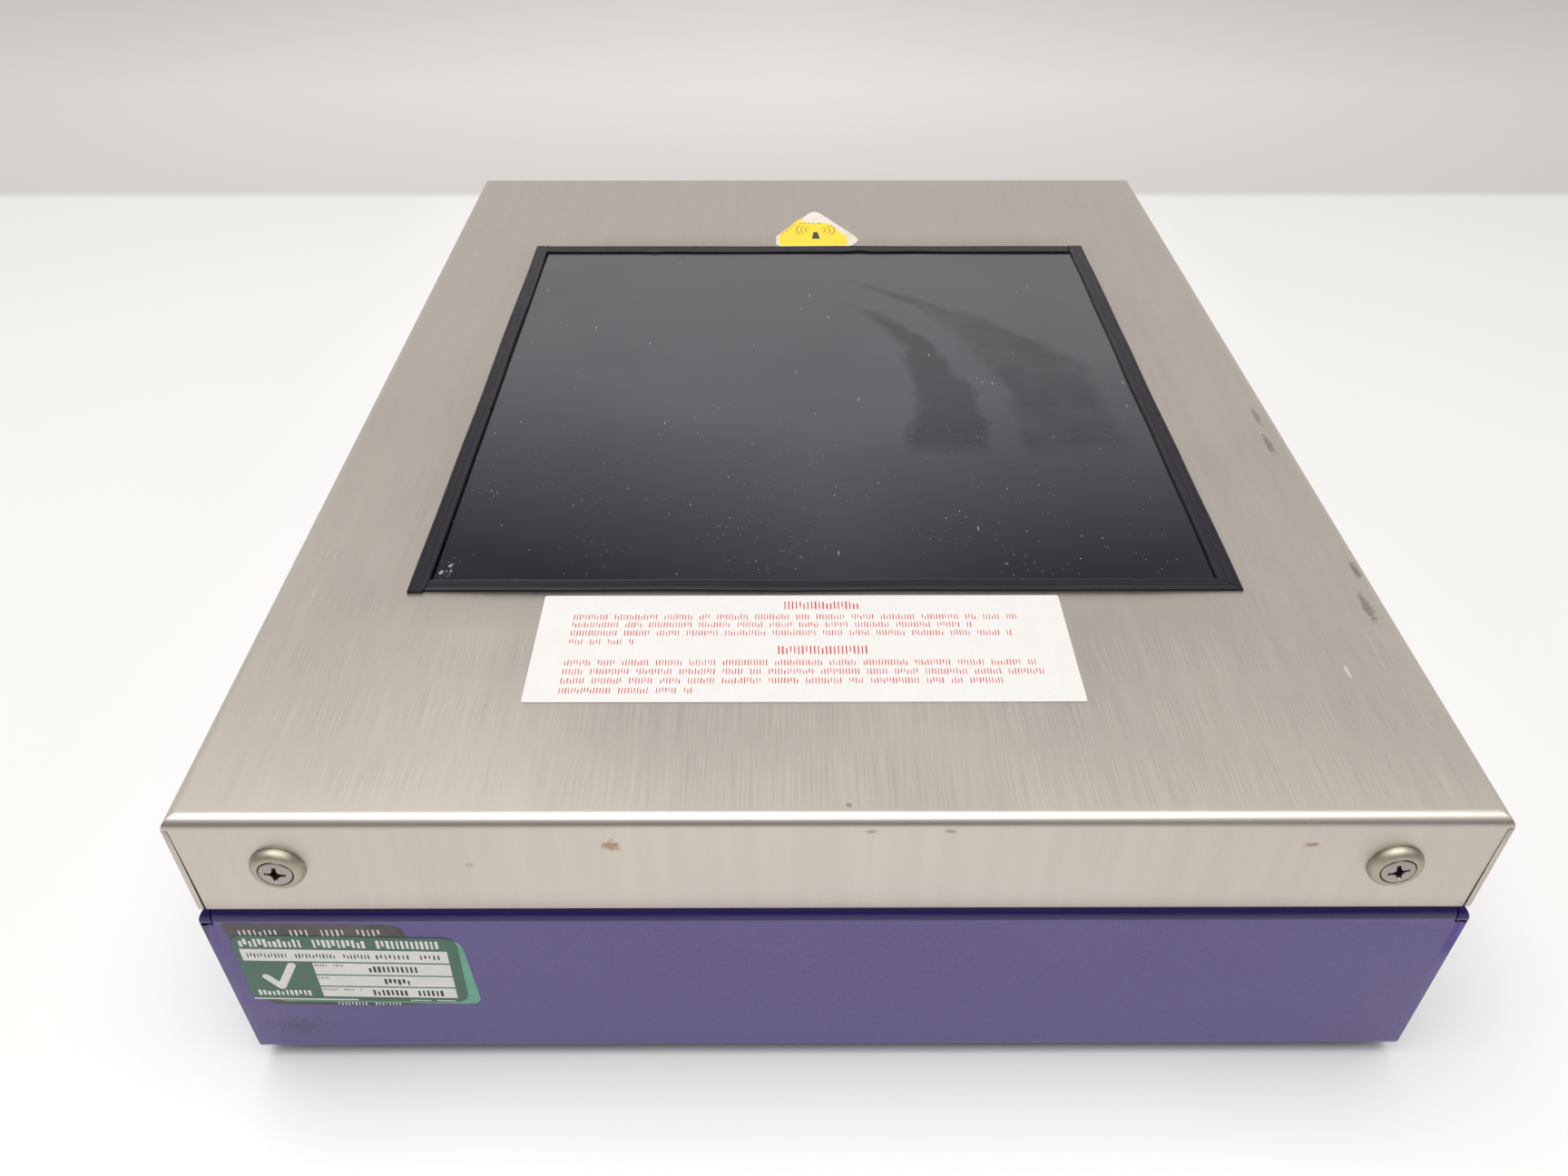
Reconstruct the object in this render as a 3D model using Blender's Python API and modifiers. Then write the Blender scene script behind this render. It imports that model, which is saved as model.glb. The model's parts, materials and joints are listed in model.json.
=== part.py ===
"""A bench-top ultraviolet transilluminator, built the way the real one is folded and assembled.

A powder-coated sheet tray carries a gear deck of six ultraviolet tubes over a reflector.
A stainless cover, screwed to the tray at its front and rear skirts, holds the black filter
glass behind a square cut-out that is finished with four strips of edging.

Units are metres and +Z is up. The origin is on the resting plane, under the middle of the
footprint. The front of the object faces -Y and the mains inlet is in the rear wall, at +Y.
"""

import math

import bmesh
import bpy
from mathutils import Matrix, Vector

# Driving dimensions
MM = 0.001
COVER_WIDTH = 280 * MM
COVER_DEPTH = 360 * MM
SKIRT_HEIGHT = 29 * MM
BASE_HEIGHT = 55.5 * MM
FOOT_HEIGHT = 3.5 * MM
SHEET = 1.2 * MM
BASE_PROUD = 0.7 * MM
WINDOW = 200.4 * MM
GAP = 0.3 * MM
SKIN_GAP = 0.05 * MM

# Levels and faces worked out from them
BASE_TOP = FOOT_HEIGHT + BASE_HEIGHT
COVER_TOP = BASE_TOP + SKIRT_HEIGHT
HALF_WIDTH = COVER_WIDTH / 2
HALF_DEPTH = COVER_DEPTH / 2
BASE_X = HALF_WIDTH + BASE_PROUD
BASE_Y = HALF_DEPTH + BASE_PROUD
FLOOR_TOP = FOOT_HEIGHT + SHEET

# Sheet-metal details
COVER_BEND = 2.7 * MM
BASE_BEND = 2.2 * MM
BEND_SEGMENTS = 4
FLANGE = 12 * MM
UPSTAND_TOP = COVER_TOP - 8 * MM
UPSTAND_FACE = HALF_DEPTH - SHEET - 1.5 * MM
UPSTAND_HALF = 125 * MM
NOTCH_WIDTH = 2.6 * MM
NOTCH_GAP = 0.35 * MM
SEAM = 0.3 * MM

# Edging round the cut-out
TRIM_WIDTH = 5.8 * MM
TRIM_TOP = 0.8 * MM
TRIM_WEB = 0.9 * MM
TRIM_UNDER = 0.65 * MM
CUT_OUT = WINDOW + 2 * (TRIM_WEB + 0.1 * MM)

# Filter glass
GLASS_SIDE = 214 * MM
GLASS_THICK = 5 * MM
GLASS_TOP = COVER_TOP - SHEET - SKIN_GAP - TRIM_UNDER - SKIN_GAP

# Cover screws: M4 in finishing washers and blind rivet nuts
SCREW_X = 118.7 * MM
SCREW_Z = COVER_TOP - 14.2 * MM
SCREW_LENGTH = 13 * MM
SHANK_RADIUS = 1.95 * MM

# Tubes: T5, 8 W
TUBE_COUNT = 6
TUBE_PITCH = 33 * MM
TUBE_RADIUS = 8 * MM
TUBE_HALF = 144 * MM
TUBE_Z = 62 * MM
PIN_SPACING = 4.75 * MM
PIN_RADIUS = 1.2 * MM
PIN_LENGTH = 7 * MM
DECK_TOP = 47.2 * MM
BRACKET_FACE = 150 * MM

# Ballasts, in a row on the floor
BALLAST_COUNT = 3
BALLAST_PITCH = 48 * MM
FIRST_BALLAST_X = -96 * MM
BALLAST_Y = -30 * MM
BALLAST_HALF_WIDTH = 19 * MM
BALLAST_HALF_LENGTH = 65 * MM
BALLAST_HEIGHT = 28 * MM

# Feet
FOOT_X = 108 * MM
FOOT_Y = 145 * MM
FOOT_RADIUS = 7.5 * MM

# Rear wall fittings
PANEL_FACE = BASE_Y
FITTING_Z = 32 * MM
INLET_X = 92 * MM
POWER_X = 50 * MM
INTENSITY_X = 20 * MM
ROCKER_TILT = math.radians(8)
DRAWER_PLATE_X = 12 * MM
DRAWER_PLATE_Z = 3.7 * MM
DRAWER_TRAY_X = 10 * MM
DRAWER_TRAY_Z = 3 * MM
DRAWER_DEPTH = 23.6 * MM
FUSE_RADIUS = 2.5 * MM
FUSE_LENGTH = 20 * MM

# Labels
WARNING_SIZE = (129 * MM, 38.2 * MM)
WARNING_PLACE = (-6.6 * MM, -127.1 * MM)
TRIANGLE_SIZE = (31.5 * MM, 29 * MM)
TRIANGLE_PLACE = (2.8 * MM, 110 * MM)
TEST_SIZE = (50.6 * MM, 25.2 * MM)
TEST_X = -110.9 * MM
TEST_Z = COVER_TOP - 50.7 * MM

COLOURS = {
    # name: (colour, metallic, roughness)
    "purple powder coat": ((0.075, 0.055, 0.19), 0.0, 0.45),
    "brushed stainless steel": ((0.50, 0.45, 0.39), 1.0, 0.36),
    "black filter glass": ((0.012, 0.008, 0.02), 0.0, 0.08),
    "black edging": ((0.014, 0.013, 0.018), 0.0, 0.5),
    "nickel plate": ((0.52, 0.48, 0.40), 1.0, 0.3),
    "zinc plate": ((0.55, 0.56, 0.58), 1.0, 0.4),
    "black rubber": ((0.015, 0.015, 0.015), 0.0, 0.8),
    "lamp glass": ((0.85, 0.86, 0.9), 0.0, 0.2),
    "white nylon": ((0.8, 0.8, 0.78), 0.0, 0.5),
    "polished aluminium": ((0.85, 0.86, 0.87), 1.0, 0.12),
    "ballast steel": ((0.7, 0.71, 0.72), 0.6, 0.45),
    "black plastic": ((0.02, 0.02, 0.022), 0.0, 0.42),
    "fuse glass": ((0.8, 0.8, 0.78), 0.2, 0.2),
    "loom sleeve": ((0.03, 0.03, 0.035), 0.0, 0.6),
    "white label": ((0.8, 0.79, 0.77), 0.0, 0.45),
    "yellow label": ((0.85, 0.68, 0.02), 0.0, 0.45),
    "green label": ((0.04, 0.13, 0.10), 0.0, 0.4),
}


def clear_scene():
    """Removes the objects that a new file starts with."""
    for old in list(bpy.data.objects):
        bpy.data.objects.remove(old, do_unlink=True)


def new_collection(name, parent):
    made = bpy.data.collections.new(name)
    parent.children.link(made)
    return made


def make_materials():
    """One Principled BSDF for each finish."""
    made = {}
    for name, (colour, metallic, roughness) in COLOURS.items():
        material = bpy.data.materials.new(name)
        material.use_nodes = True
        shader = material.node_tree.nodes["Principled BSDF"]
        shader.inputs["Base Color"].default_value = (*colour, 1.0)
        shader.inputs["Metallic"].default_value = metallic
        shader.inputs["Roughness"].default_value = roughness
        material.diffuse_color = (*colour, 1.0)
        made[name] = material
    return made


clear_scene()
PARTS = new_collection("uv_transilluminator", bpy.context.scene.collection)
CUTTERS = new_collection("cutters", bpy.context.scene.collection)
MATERIALS = make_materials()


def place(name, mesh, finish, location=(0, 0, 0), rotation=(0, 0, 0), smooth=True):
    """Adds a sub-part to the model, with its finish."""
    piece = bpy.data.objects.new(name, mesh)
    piece.location = location
    piece.rotation_euler = rotation
    PARTS.objects.link(piece)
    if not mesh.materials:
        mesh.materials.append(MATERIALS[finish])
    if smooth:
        mesh.shade_smooth()
        mesh.set_sharp_from_angle(angle=math.radians(35))
    return piece


def hide_helper(mesh, name, location=(0, 0, 0), rotation=(0, 0, 0)):
    """A cutter, or a shape to be joined on, which is not a sub-part itself."""
    helper = bpy.data.objects.new(name, mesh)
    helper.location = location
    helper.rotation_euler = rotation
    helper.hide_render = True
    helper.display_type = "WIRE"
    CUTTERS.objects.link(helper)
    return helper


def combine(piece, operation, helper):
    """Cuts the helper out of the piece, or joins it on."""
    change = piece.modifiers.new(helper.name, "BOOLEAN")
    change.operation = operation
    change.solver = "EXACT"
    change.object = helper


def mesh_from(bm, name):
    mesh = bpy.data.meshes.new(name)
    bm.to_mesh(mesh)
    bm.free()
    return mesh


def add_box(bm, low, high):
    """Adds a box between two corners to bm and returns its vertices."""
    low = Vector(low)
    high = Vector(high)
    size = high - low
    matrix = Matrix.Translation((low + high) / 2) @ Matrix.Diagonal((*size, 1.0))
    return bmesh.ops.create_cube(bm, size=1.0, matrix=matrix)["verts"]


def boxes(name, corners):
    """A mesh of separate boxes, each given as its two corners."""
    bm = bmesh.new()
    for low, high in corners:
        add_box(bm, low, high)
    return mesh_from(bm, name)


def mirrored(low, high, x=False, y=False):
    """The box with its copies across the middle planes, as pairs of corners."""
    found = []
    for side_x in (1, -1) if x else (1,):
        for side_y in (1, -1) if y else (1,):
            xs = sorted((side_x * low[0], side_x * high[0]))
            ys = sorted((side_y * low[1], side_y * high[1]))
            found.append(((xs[0], ys[0], low[2]), (xs[1], ys[1], high[2])))
    return found


def folded_box(name, low, high, radius, top_only=False):
    """A box whose horizontal edges are rounded, as folded sheet is, with its upright edges sharp."""
    bm = bmesh.new()
    add_box(bm, low, high)
    middle = (low[2] + high[2]) / 2
    edges = []
    for edge in bm.edges:
        first, second = (vert.co.z for vert in edge.verts)
        level = abs(first - second) < 1e-9
        if level and (first > middle or not top_only):
            edges.append(edge)
    bmesh.ops.bevel(
        bm, geom=edges, offset=radius, segments=BEND_SEGMENTS, profile=0.5, affect="EDGES"
    )
    return mesh_from(bm, name)


def soft_box(name, low, high, radius, segments=2):
    """A box with all of its edges rounded."""
    bm = bmesh.new()
    add_box(bm, low, high)
    bmesh.ops.bevel(
        bm, geom=bm.edges[:], offset=radius, segments=segments, profile=0.5, affect="EDGES"
    )
    return mesh_from(bm, name)


def to_mesh(helper, name):
    """The evaluated mesh of an object, with its seams welded. The object is removed."""
    bpy.context.view_layer.update()
    graph = bpy.context.evaluated_depsgraph_get()
    mesh = bpy.data.meshes.new_from_object(helper.evaluated_get(graph))
    mesh.name = name
    bm = bmesh.new()
    bm.from_mesh(mesh)
    bmesh.ops.remove_doubles(bm, verts=bm.verts, dist=1e-6)
    bm.to_mesh(mesh)
    bm.free()
    bpy.data.objects.remove(helper, do_unlink=True)
    return mesh


def turned(name, profile, steps):
    """A profile of (radius, height) points, listed down its outer side, turned about Z."""
    mesh = bpy.data.meshes.new(name)
    count = len(profile)
    closed = profile[0][0] > 0 and profile[-1][0] > 0
    edges = [(i, i + 1) for i in range(count - 1)]
    if closed:
        edges.append((count - 1, 0))
    mesh.from_pydata([(radius, 0, height) for radius, height in profile], edges, [])
    helper = hide_helper(mesh, name)
    screw = helper.modifiers.new("turn", "SCREW")
    screw.steps = steps
    screw.render_steps = steps
    screw.use_merge_vertices = True
    screw.merge_threshold = 1e-6
    return to_mesh(helper, name)


def extruded(name, outline, length, along):
    """A closed outline given as (across, up) points, extruded evenly both ways along X, Y or Z."""
    curve = bpy.data.curves.new(name, "CURVE")
    curve.dimensions = "2D"
    curve.fill_mode = "BOTH"
    curve.extrude = length / 2
    spline = curve.splines.new("POLY")
    spline.points.add(len(outline) - 1)
    for point, (across, up) in zip(spline.points, outline):
        point.co = (across, up, 0, 1)
    spline.use_cyclic_u = True
    mesh = to_mesh(hide_helper(curve, name), name)
    quarter = math.radians(90)
    upright = Matrix.Rotation(quarter, 4, "X")
    turns = {
        "X": Matrix.Rotation(quarter, 4, "Z") @ upright,
        "Y": upright,
        "Z": Matrix.Identity(4),
    }
    mesh.transform(turns[along])
    return mesh


def arc(centre, radius, start, end, steps):
    """Points on an arc, with the angles in degrees."""
    points = []
    for step in range(steps + 1):
        angle = math.radians(start + (end - start) * step / steps)
        points.append((centre[0] + radius * math.cos(angle), centre[1] + radius * math.sin(angle)))
    return points


def rounded_rectangle(width, height, radius, steps=3):
    """An outline with round corners, centred on the origin."""
    x = width / 2 - radius
    y = height / 2 - radius
    return (
        arc((x, y), radius, 0, 90, steps)
        + arc((-x, y), radius, 90, 180, steps)
        + arc((-x, -y), radius, 180, 270, steps)
        + arc((x, -y), radius, 270, 360, steps)
    )


def cylinders(name, places, radius, length, along, segments=16):
    """A mesh of separate cylinders with their middles at the places given."""
    turns = {
        "X": Matrix.Rotation(math.radians(90), 4, "Y"),
        "Y": Matrix.Rotation(math.radians(90), 4, "X"),
        "Z": Matrix.Identity(4),
    }
    bm = bmesh.new()
    for centre in places:
        bmesh.ops.create_cone(
            bm,
            cap_ends=True,
            segments=segments,
            radius1=radius,
            radius2=radius,
            depth=length,
            matrix=Matrix.Translation(centre) @ turns[along],
        )
    return mesh_from(bm, name)


def corner_sides():
    """The names and signs of the four corners."""
    for name_y, side_y in (("front", -1), ("rear", 1)):
        for name_x, side_x in (("left", -1), ("right", 1)):
            yield f"{name_y}_{name_x}", side_x, side_y


def screw_places(y):
    """Screw centres at distance y in front of and behind the middle."""
    return [(sx * SCREW_X, sy * y, SCREW_Z) for _, sx, sy in corner_sides()]


def make_base_tray():
    """Floor, four walls with rounded folds, an inward top flange and two upstands for the screws."""
    outer = folded_box(
        "base_tray", (-BASE_X, -BASE_Y, FOOT_HEIGHT), (BASE_X, BASE_Y, BASE_TOP), BASE_BEND
    )
    tray = place("base_tray", outer, "purple powder coat")
    inside_x = BASE_X - SHEET
    inside_y = BASE_Y - SHEET
    hollow = folded_box(
        "tray_hollow",
        (-inside_x, -inside_y, FLOOR_TOP),
        (inside_x, inside_y, BASE_TOP - SHEET),
        BASE_BEND - SHEET,
    )
    combine(tray, "DIFFERENCE", hide_helper(hollow, "tray_hollow"))

    mouth_x = BASE_X - FLANGE
    mouth_y = BASE_Y - FLANGE
    mouth = [((-mouth_x, -mouth_y, BASE_TOP - 2 * SHEET), (mouth_x, mouth_y, BASE_TOP + SHEET))]
    combine(tray, "DIFFERENCE", hide_helper(boxes("tray_mouth", mouth), "tray_mouth"))

    upstand_low = (-UPSTAND_HALF, UPSTAND_FACE - SHEET, BASE_TOP - SHEET / 2)
    upstand_high = (UPSTAND_HALF, UPSTAND_FACE, UPSTAND_TOP)
    upstands = boxes("upstands", mirrored(upstand_low, upstand_high, y=True))
    combine(tray, "UNION", hide_helper(upstands, "upstands"))
    holes = cylinders("nut_holes", screw_places(UPSTAND_FACE), 3.2 * MM, 4 * SHEET, "Y")
    combine(tray, "DIFFERENCE", hide_helper(holes, "nut_holes"))

    cut_corner_reliefs(tray)
    cut_rear_wall(tray)


def cut_corner_reliefs(tray):
    """The slits at each upright corner: beside the flange end, under it, and down the seam."""
    slit_x = BASE_X - NOTCH_WIDTH
    slit_floor = BASE_TOP - BASE_BEND - 0.5 * MM
    outside = 1 * MM
    slits = mirrored(
        (slit_x - NOTCH_GAP, BASE_Y - FLANGE - outside, slit_floor),
        (slit_x, BASE_Y + outside, BASE_TOP + outside),
        x=True,
        y=True,
    )
    combine(tray, "DIFFERENCE", hide_helper(boxes("flange_slits", slits), "flange_slits"))
    windows = mirrored(
        (slit_x - NOTCH_GAP / 2, BASE_Y - 1.5 * SHEET, slit_floor),
        (BASE_X - 0.25 * MM, BASE_Y + outside, slit_floor + 0.6 * MM),
        x=True,
        y=True,
    )
    combine(tray, "DIFFERENCE", hide_helper(boxes("flange_windows", windows), "flange_windows"))
    seams = mirrored(
        (BASE_X - SHEET - SEAM / 2, BASE_Y - SHEET / 2, FOOT_HEIGHT + BASE_BEND),
        (BASE_X - SHEET + SEAM / 2, BASE_Y + outside, slit_floor + SEAM),
        x=True,
        y=True,
    )
    combine(tray, "DIFFERENCE", hide_helper(boxes("corner_seams", seams), "corner_seams"))


def cut_rear_wall(tray):
    """Cut-outs for the inlet and the switches, and a row of upright vent slots."""
    near = PANEL_FACE - 2 * SHEET
    far = PANEL_FACE + 2 * SHEET
    cut_outs = []
    for centre, half_width, half_height in (
        (INLET_X, 14 * MM, 15.9 * MM),
        (POWER_X, 10.4 * MM, 13.9 * MM),
        (INTENSITY_X, 6.9 * MM, 9.9 * MM),
    ):
        cut_outs.append(
            (
                (centre - half_width, near, FITTING_Z - half_height),
                (centre + half_width, far, FITTING_Z + half_height),
            )
        )
    slot_half = 1.25 * MM
    for slot in range(12):
        x = -20 * MM - 8 * MM * slot
        cut_outs.append(
            ((x - slot_half, near, FITTING_Z - 12 * MM), (x + slot_half, far, FITTING_Z + 12 * MM))
        )
    combine(tray, "DIFFERENCE", hide_helper(boxes("rear_cut_outs", cut_outs), "rear_cut_outs"))


def make_top_cover():
    """A folded cover whose front and rear skirts stand between its side skirts, with slit corners."""
    outer = folded_box(
        "top_cover",
        (-HALF_WIDTH, -HALF_DEPTH, BASE_TOP + SKIN_GAP),
        (HALF_WIDTH, HALF_DEPTH, COVER_TOP),
        COVER_BEND,
        top_only=True,
    )
    cover = place("top_cover", outer, "brushed stainless steel")
    inside_x = HALF_WIDTH - SHEET
    inside_y = HALF_DEPTH - SHEET
    hollow = folded_box(
        "cover_hollow",
        (-inside_x, -inside_y, BASE_TOP - SHEET),
        (inside_x, inside_y, COVER_TOP - SHEET),
        COVER_BEND - SHEET,
        top_only=True,
    )
    combine(cover, "DIFFERENCE", hide_helper(hollow, "cover_hollow"))
    half = CUT_OUT / 2
    window = [((-half, -half, COVER_TOP - 2 * SHEET), (half, half, COVER_TOP + SHEET))]
    combine(cover, "DIFFERENCE", hide_helper(boxes("window", window), "window"))
    slits = mirrored(
        (inside_x - SEAM, inside_y - SHEET, BASE_TOP - SHEET),
        (inside_x, HALF_DEPTH + SHEET, COVER_TOP - COVER_BEND),
        x=True,
        y=True,
    )
    combine(cover, "DIFFERENCE", hide_helper(boxes("cover_slits", slits), "cover_slits"))
    holes = cylinders("screw_holes", screw_places(HALF_DEPTH - SHEET / 2), 2.9 * MM, 3 * SHEET, "Y")
    combine(cover, "DIFFERENCE", hide_helper(holes, "screw_holes"))


def make_edge_trims():
    """Four strips of U-section edging, mitred where they meet."""
    inner = WINDOW / 2
    top = COVER_TOP + SKIN_GAP
    lip = 0.25 * MM
    outline = [
        (0, GLASS_TOP + SKIN_GAP),
        (TRIM_WIDTH, GLASS_TOP + SKIN_GAP),
        (TRIM_WIDTH, GLASS_TOP + SKIN_GAP + TRIM_UNDER),
        (TRIM_WEB, GLASS_TOP + SKIN_GAP + TRIM_UNDER),
        (TRIM_WEB, top),
        (TRIM_WIDTH, top),
        (TRIM_WIDTH, top + TRIM_TOP - lip),
        (TRIM_WIDTH - lip, top + TRIM_TOP),
        (lip, top + TRIM_TOP),
        (0, top + TRIM_TOP - lip),
    ]
    mesh = extruded("edge_trim", outline, 2.0, "Y")
    for vertex in mesh.vertices:
        reach = inner + vertex.co.x - SKIN_GAP
        vertex.co.y = math.copysign(reach, vertex.co.y)
        vertex.co.x += inner
    for name, turn in (("right", 0), ("back", 90), ("left", 180), ("front", 270)):
        place(f"edge_trim_{name}", mesh, "black edging", rotation=(0, 0, math.radians(turn)))


def make_filter():
    """The filter glass, and the Z-section strips that hold it up against the cover."""
    half = GLASS_SIDE / 2
    bottom = GLASS_TOP - GLASS_THICK
    glass = soft_box(
        "filter_glass", (-half, -half, bottom), (half, half, GLASS_TOP), 0.4 * MM, segments=1
    )
    place("filter_glass", glass, "black filter glass", smooth=False)

    clamp_length = 190 * MM
    shelf = bottom - GAP
    under = COVER_TOP - SHEET - GAP
    riser = half + 1.5 * MM
    reach = half - 6 * MM
    lug = riser + 14 * MM
    outline = [
        (reach, shelf - SHEET),
        (riser + SHEET, shelf - SHEET),
        (riser + SHEET, under - SHEET),
        (lug, under - SHEET),
        (lug, under),
        (riser, under),
        (riser, shelf),
        (reach, shelf),
    ]
    mesh = extruded("filter_clamp", outline, clamp_length, "Y")
    for name, turn in (("right", 0), ("left", 180)):
        place(
            f"filter_clamp_{name}",
            mesh,
            "zinc plate",
            rotation=(0, 0, math.radians(turn)),
            smooth=False,
        )


def make_screws():
    """Raised countersunk screws with a cross recess, in finishing washers and rivet nuts."""
    crown = 2.15 * MM
    head = 4.0 * MM
    profile = [
        (0, crown),
        (2.0 * MM, crown - 0.12 * MM),
        (3.2 * MM, crown - 0.35 * MM),
        (head, crown - 0.65 * MM),
        (SHANK_RADIUS, -0.6 * MM),
        (SHANK_RADIUS, -SCREW_LENGTH + 0.6 * MM),
        (SHANK_RADIUS - 0.6 * MM, -SCREW_LENGTH),
        (0, -SCREW_LENGTH),
    ]
    blank = hide_helper(turned("cover_screw", profile, 20), "screw_blank")
    wing_long = 2.3 * MM
    wing_half = 0.45 * MM
    for name, x, y in (("wing_a", wing_long, wing_half), ("wing_b", wing_half, wing_long)):
        wing = boxes(name, [((-x, -y, 0.4 * MM), (x, y, 3 * MM))])
        combine(blank, "DIFFERENCE", hide_helper(wing, name))
    screw = to_mesh(blank, "cover_screw")

    cup_profile = [
        (4.25 * MM, 1.62 * MM),
        (4.75 * MM, 1.95 * MM),
        (5.35 * MM, 2.0 * MM),
        (6.0 * MM, 1.6 * MM),
        (6.5 * MM, 0.85 * MM),
        (6.7 * MM, SKIN_GAP),
        (2.9 * MM, SKIN_GAP),
    ]
    cup = turned("screw_cup", cup_profile, 24)

    nut_face = -(HALF_DEPTH - UPSTAND_FACE)
    nut_profile = [
        (2.2 * MM, nut_face + 0.8 * MM),
        (4.5 * MM, nut_face + 0.8 * MM),
        (4.5 * MM, nut_face + SKIN_GAP),
        (3.0 * MM, nut_face + SKIN_GAP),
        (3.0 * MM, nut_face - 9 * MM),
        (2.2 * MM, nut_face - 9 * MM),
    ]
    nut = turned("rivet_nut", nut_profile, 16)

    for name, side_x, side_y in corner_sides():
        location = (side_x * SCREW_X, side_y * HALF_DEPTH, SCREW_Z)
        facing = (math.radians(-90 * side_y), 0, 0)
        place(f"cover_screw_{name}", screw, "nickel plate", location, facing)
        place(f"screw_cup_{name}", cup, "nickel plate", location, facing)
        place(f"rivet_nut_{name}", nut, "zinc plate", location, facing)


def make_feet():
    """Rubber feet, set well in from the walls."""
    top = FOOT_HEIGHT - GAP
    rim = 1.2 * MM
    profile = [
        (0, top),
        (FOOT_RADIUS, top),
        (FOOT_RADIUS, rim),
        (FOOT_RADIUS - 0.75 * rim, 0),
        (0, 0),
    ]
    mesh = turned("foot", profile, 20)
    for name, side_x, side_y in corner_sides():
        place(f"foot_{name}", mesh, "black rubber", (side_x * FOOT_X, side_y * FOOT_Y, 0))


def make_lamps():
    """Six tubes from front to back, each with two pins in a holder at both ends."""
    cap = 13 * MM
    cap_radius = TUBE_RADIUS - 0.25 * MM
    half_profile = [
        (0, TUBE_HALF),
        (cap_radius - 0.8 * MM, TUBE_HALF),
        (cap_radius, TUBE_HALF - 0.8 * MM),
        (cap_radius, TUBE_HALF - cap),
        (TUBE_RADIUS, TUBE_HALF - cap - 0.5 * MM),
    ]
    profile = half_profile + [(radius, -height) for radius, height in reversed(half_profile)]
    blank = hide_helper(turned("uv_lamp", profile, 12), "lamp_blank")
    overlap = 1 * MM
    middle = TUBE_HALF + (PIN_LENGTH - overlap) / 2
    pin_places = []
    for side in (1, -1):
        for x in (PIN_SPACING / 2, -PIN_SPACING / 2):
            pin_places.append((x, 0, side * middle))
    pins = cylinders("pins", pin_places, PIN_RADIUS, PIN_LENGTH + overlap, "Z", segments=8)
    combine(blank, "UNION", hide_helper(pins, "pins"))
    lamp = to_mesh(blank, "uv_lamp")
    lamp.transform(Matrix.Rotation(math.radians(90), 4, "X"))

    holder = make_lamp_holder()
    for index in range(TUBE_COUNT):
        x = (index - (TUBE_COUNT - 1) / 2) * TUBE_PITCH
        place(f"uv_lamp_{index + 1}", lamp, "lamp glass", (x, 0, TUBE_Z))
        for name, turn in (("rear", 0), ("front", 180)):
            place(
                f"lamp_holder_{name}_{index + 1}",
                holder,
                "white nylon",
                (x, 0, TUBE_Z),
                (0, 0, math.radians(turn)),
                smooth=False,
            )


def make_lamp_holder():
    """An upright holder with a round shoulder and a pocket for the tube's pins."""
    depth = 11 * MM
    half = 9 * MM
    near = TUBE_HALF + GAP
    foot = DECK_TOP + GAP - TUBE_Z
    outline = [(-half, foot), (half, foot)] + arc((0, 2 * MM), half, 0, 180, 6)
    mesh = extruded("lamp_holder", outline, depth, "Y")
    mesh.transform(Matrix.Translation((0, near + depth / 2, 0)))
    blank = hide_helper(mesh, "holder_blank")
    pocket_x = PIN_SPACING / 2 + PIN_RADIUS + 0.4 * MM
    pocket_z = PIN_RADIUS + 0.4 * MM
    pocket = [((-pocket_x, near - GAP, -pocket_z), (pocket_x, near + PIN_LENGTH, pocket_z))]
    combine(blank, "DIFFERENCE", hide_helper(boxes("pin_pocket", pocket), "pin_pocket"))
    return to_mesh(blank, "lamp_holder")


def make_gear_deck():
    """Two Z-section brackets that carry the tube holders, and the reflector between them."""
    foot = FLOOR_TOP + GAP
    wall = BRACKET_FACE
    toe = wall - 12 * MM
    outer_lip = wall + 5.5 * MM
    inner_lip = wall - 14 * MM
    outline = [
        (toe, foot),
        (wall, foot),
        (wall, DECK_TOP - SHEET),
        (outer_lip, DECK_TOP - SHEET),
        (outer_lip, DECK_TOP),
        (inner_lip, DECK_TOP),
        (inner_lip, DECK_TOP - SHEET),
        (wall - SHEET, DECK_TOP - SHEET),
        (wall - SHEET, foot + SHEET),
        (toe, foot + SHEET),
    ]
    bracket = extruded("lamp_bracket", outline, 210 * MM, "X")
    for name, turn in (("rear", 0), ("front", 180)):
        turn = math.radians(turn)
        place(f"lamp_bracket_{name}", bracket, "zinc plate", rotation=(0, 0, turn), smooth=False)

    floor = DECK_TOP + GAP
    thick = 0.8 * MM
    inner = (TUBE_COUNT - 1) / 2 * TUBE_PITCH + 15.5 * MM
    outer = inner + 14 * MM
    rise = 18 * MM
    side = [(outer, floor + rise), (outer, floor + rise + 2 * thick), (inner, floor + thick)]
    outline = [(-inner, floor), (inner, floor)] + side
    outline += [(-x, z) for x, z in reversed(side)]
    reflector = extruded("reflector", outline, 287 * MM, "Y")
    place("reflector", reflector, "polished aluminium", smooth=False)


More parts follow.
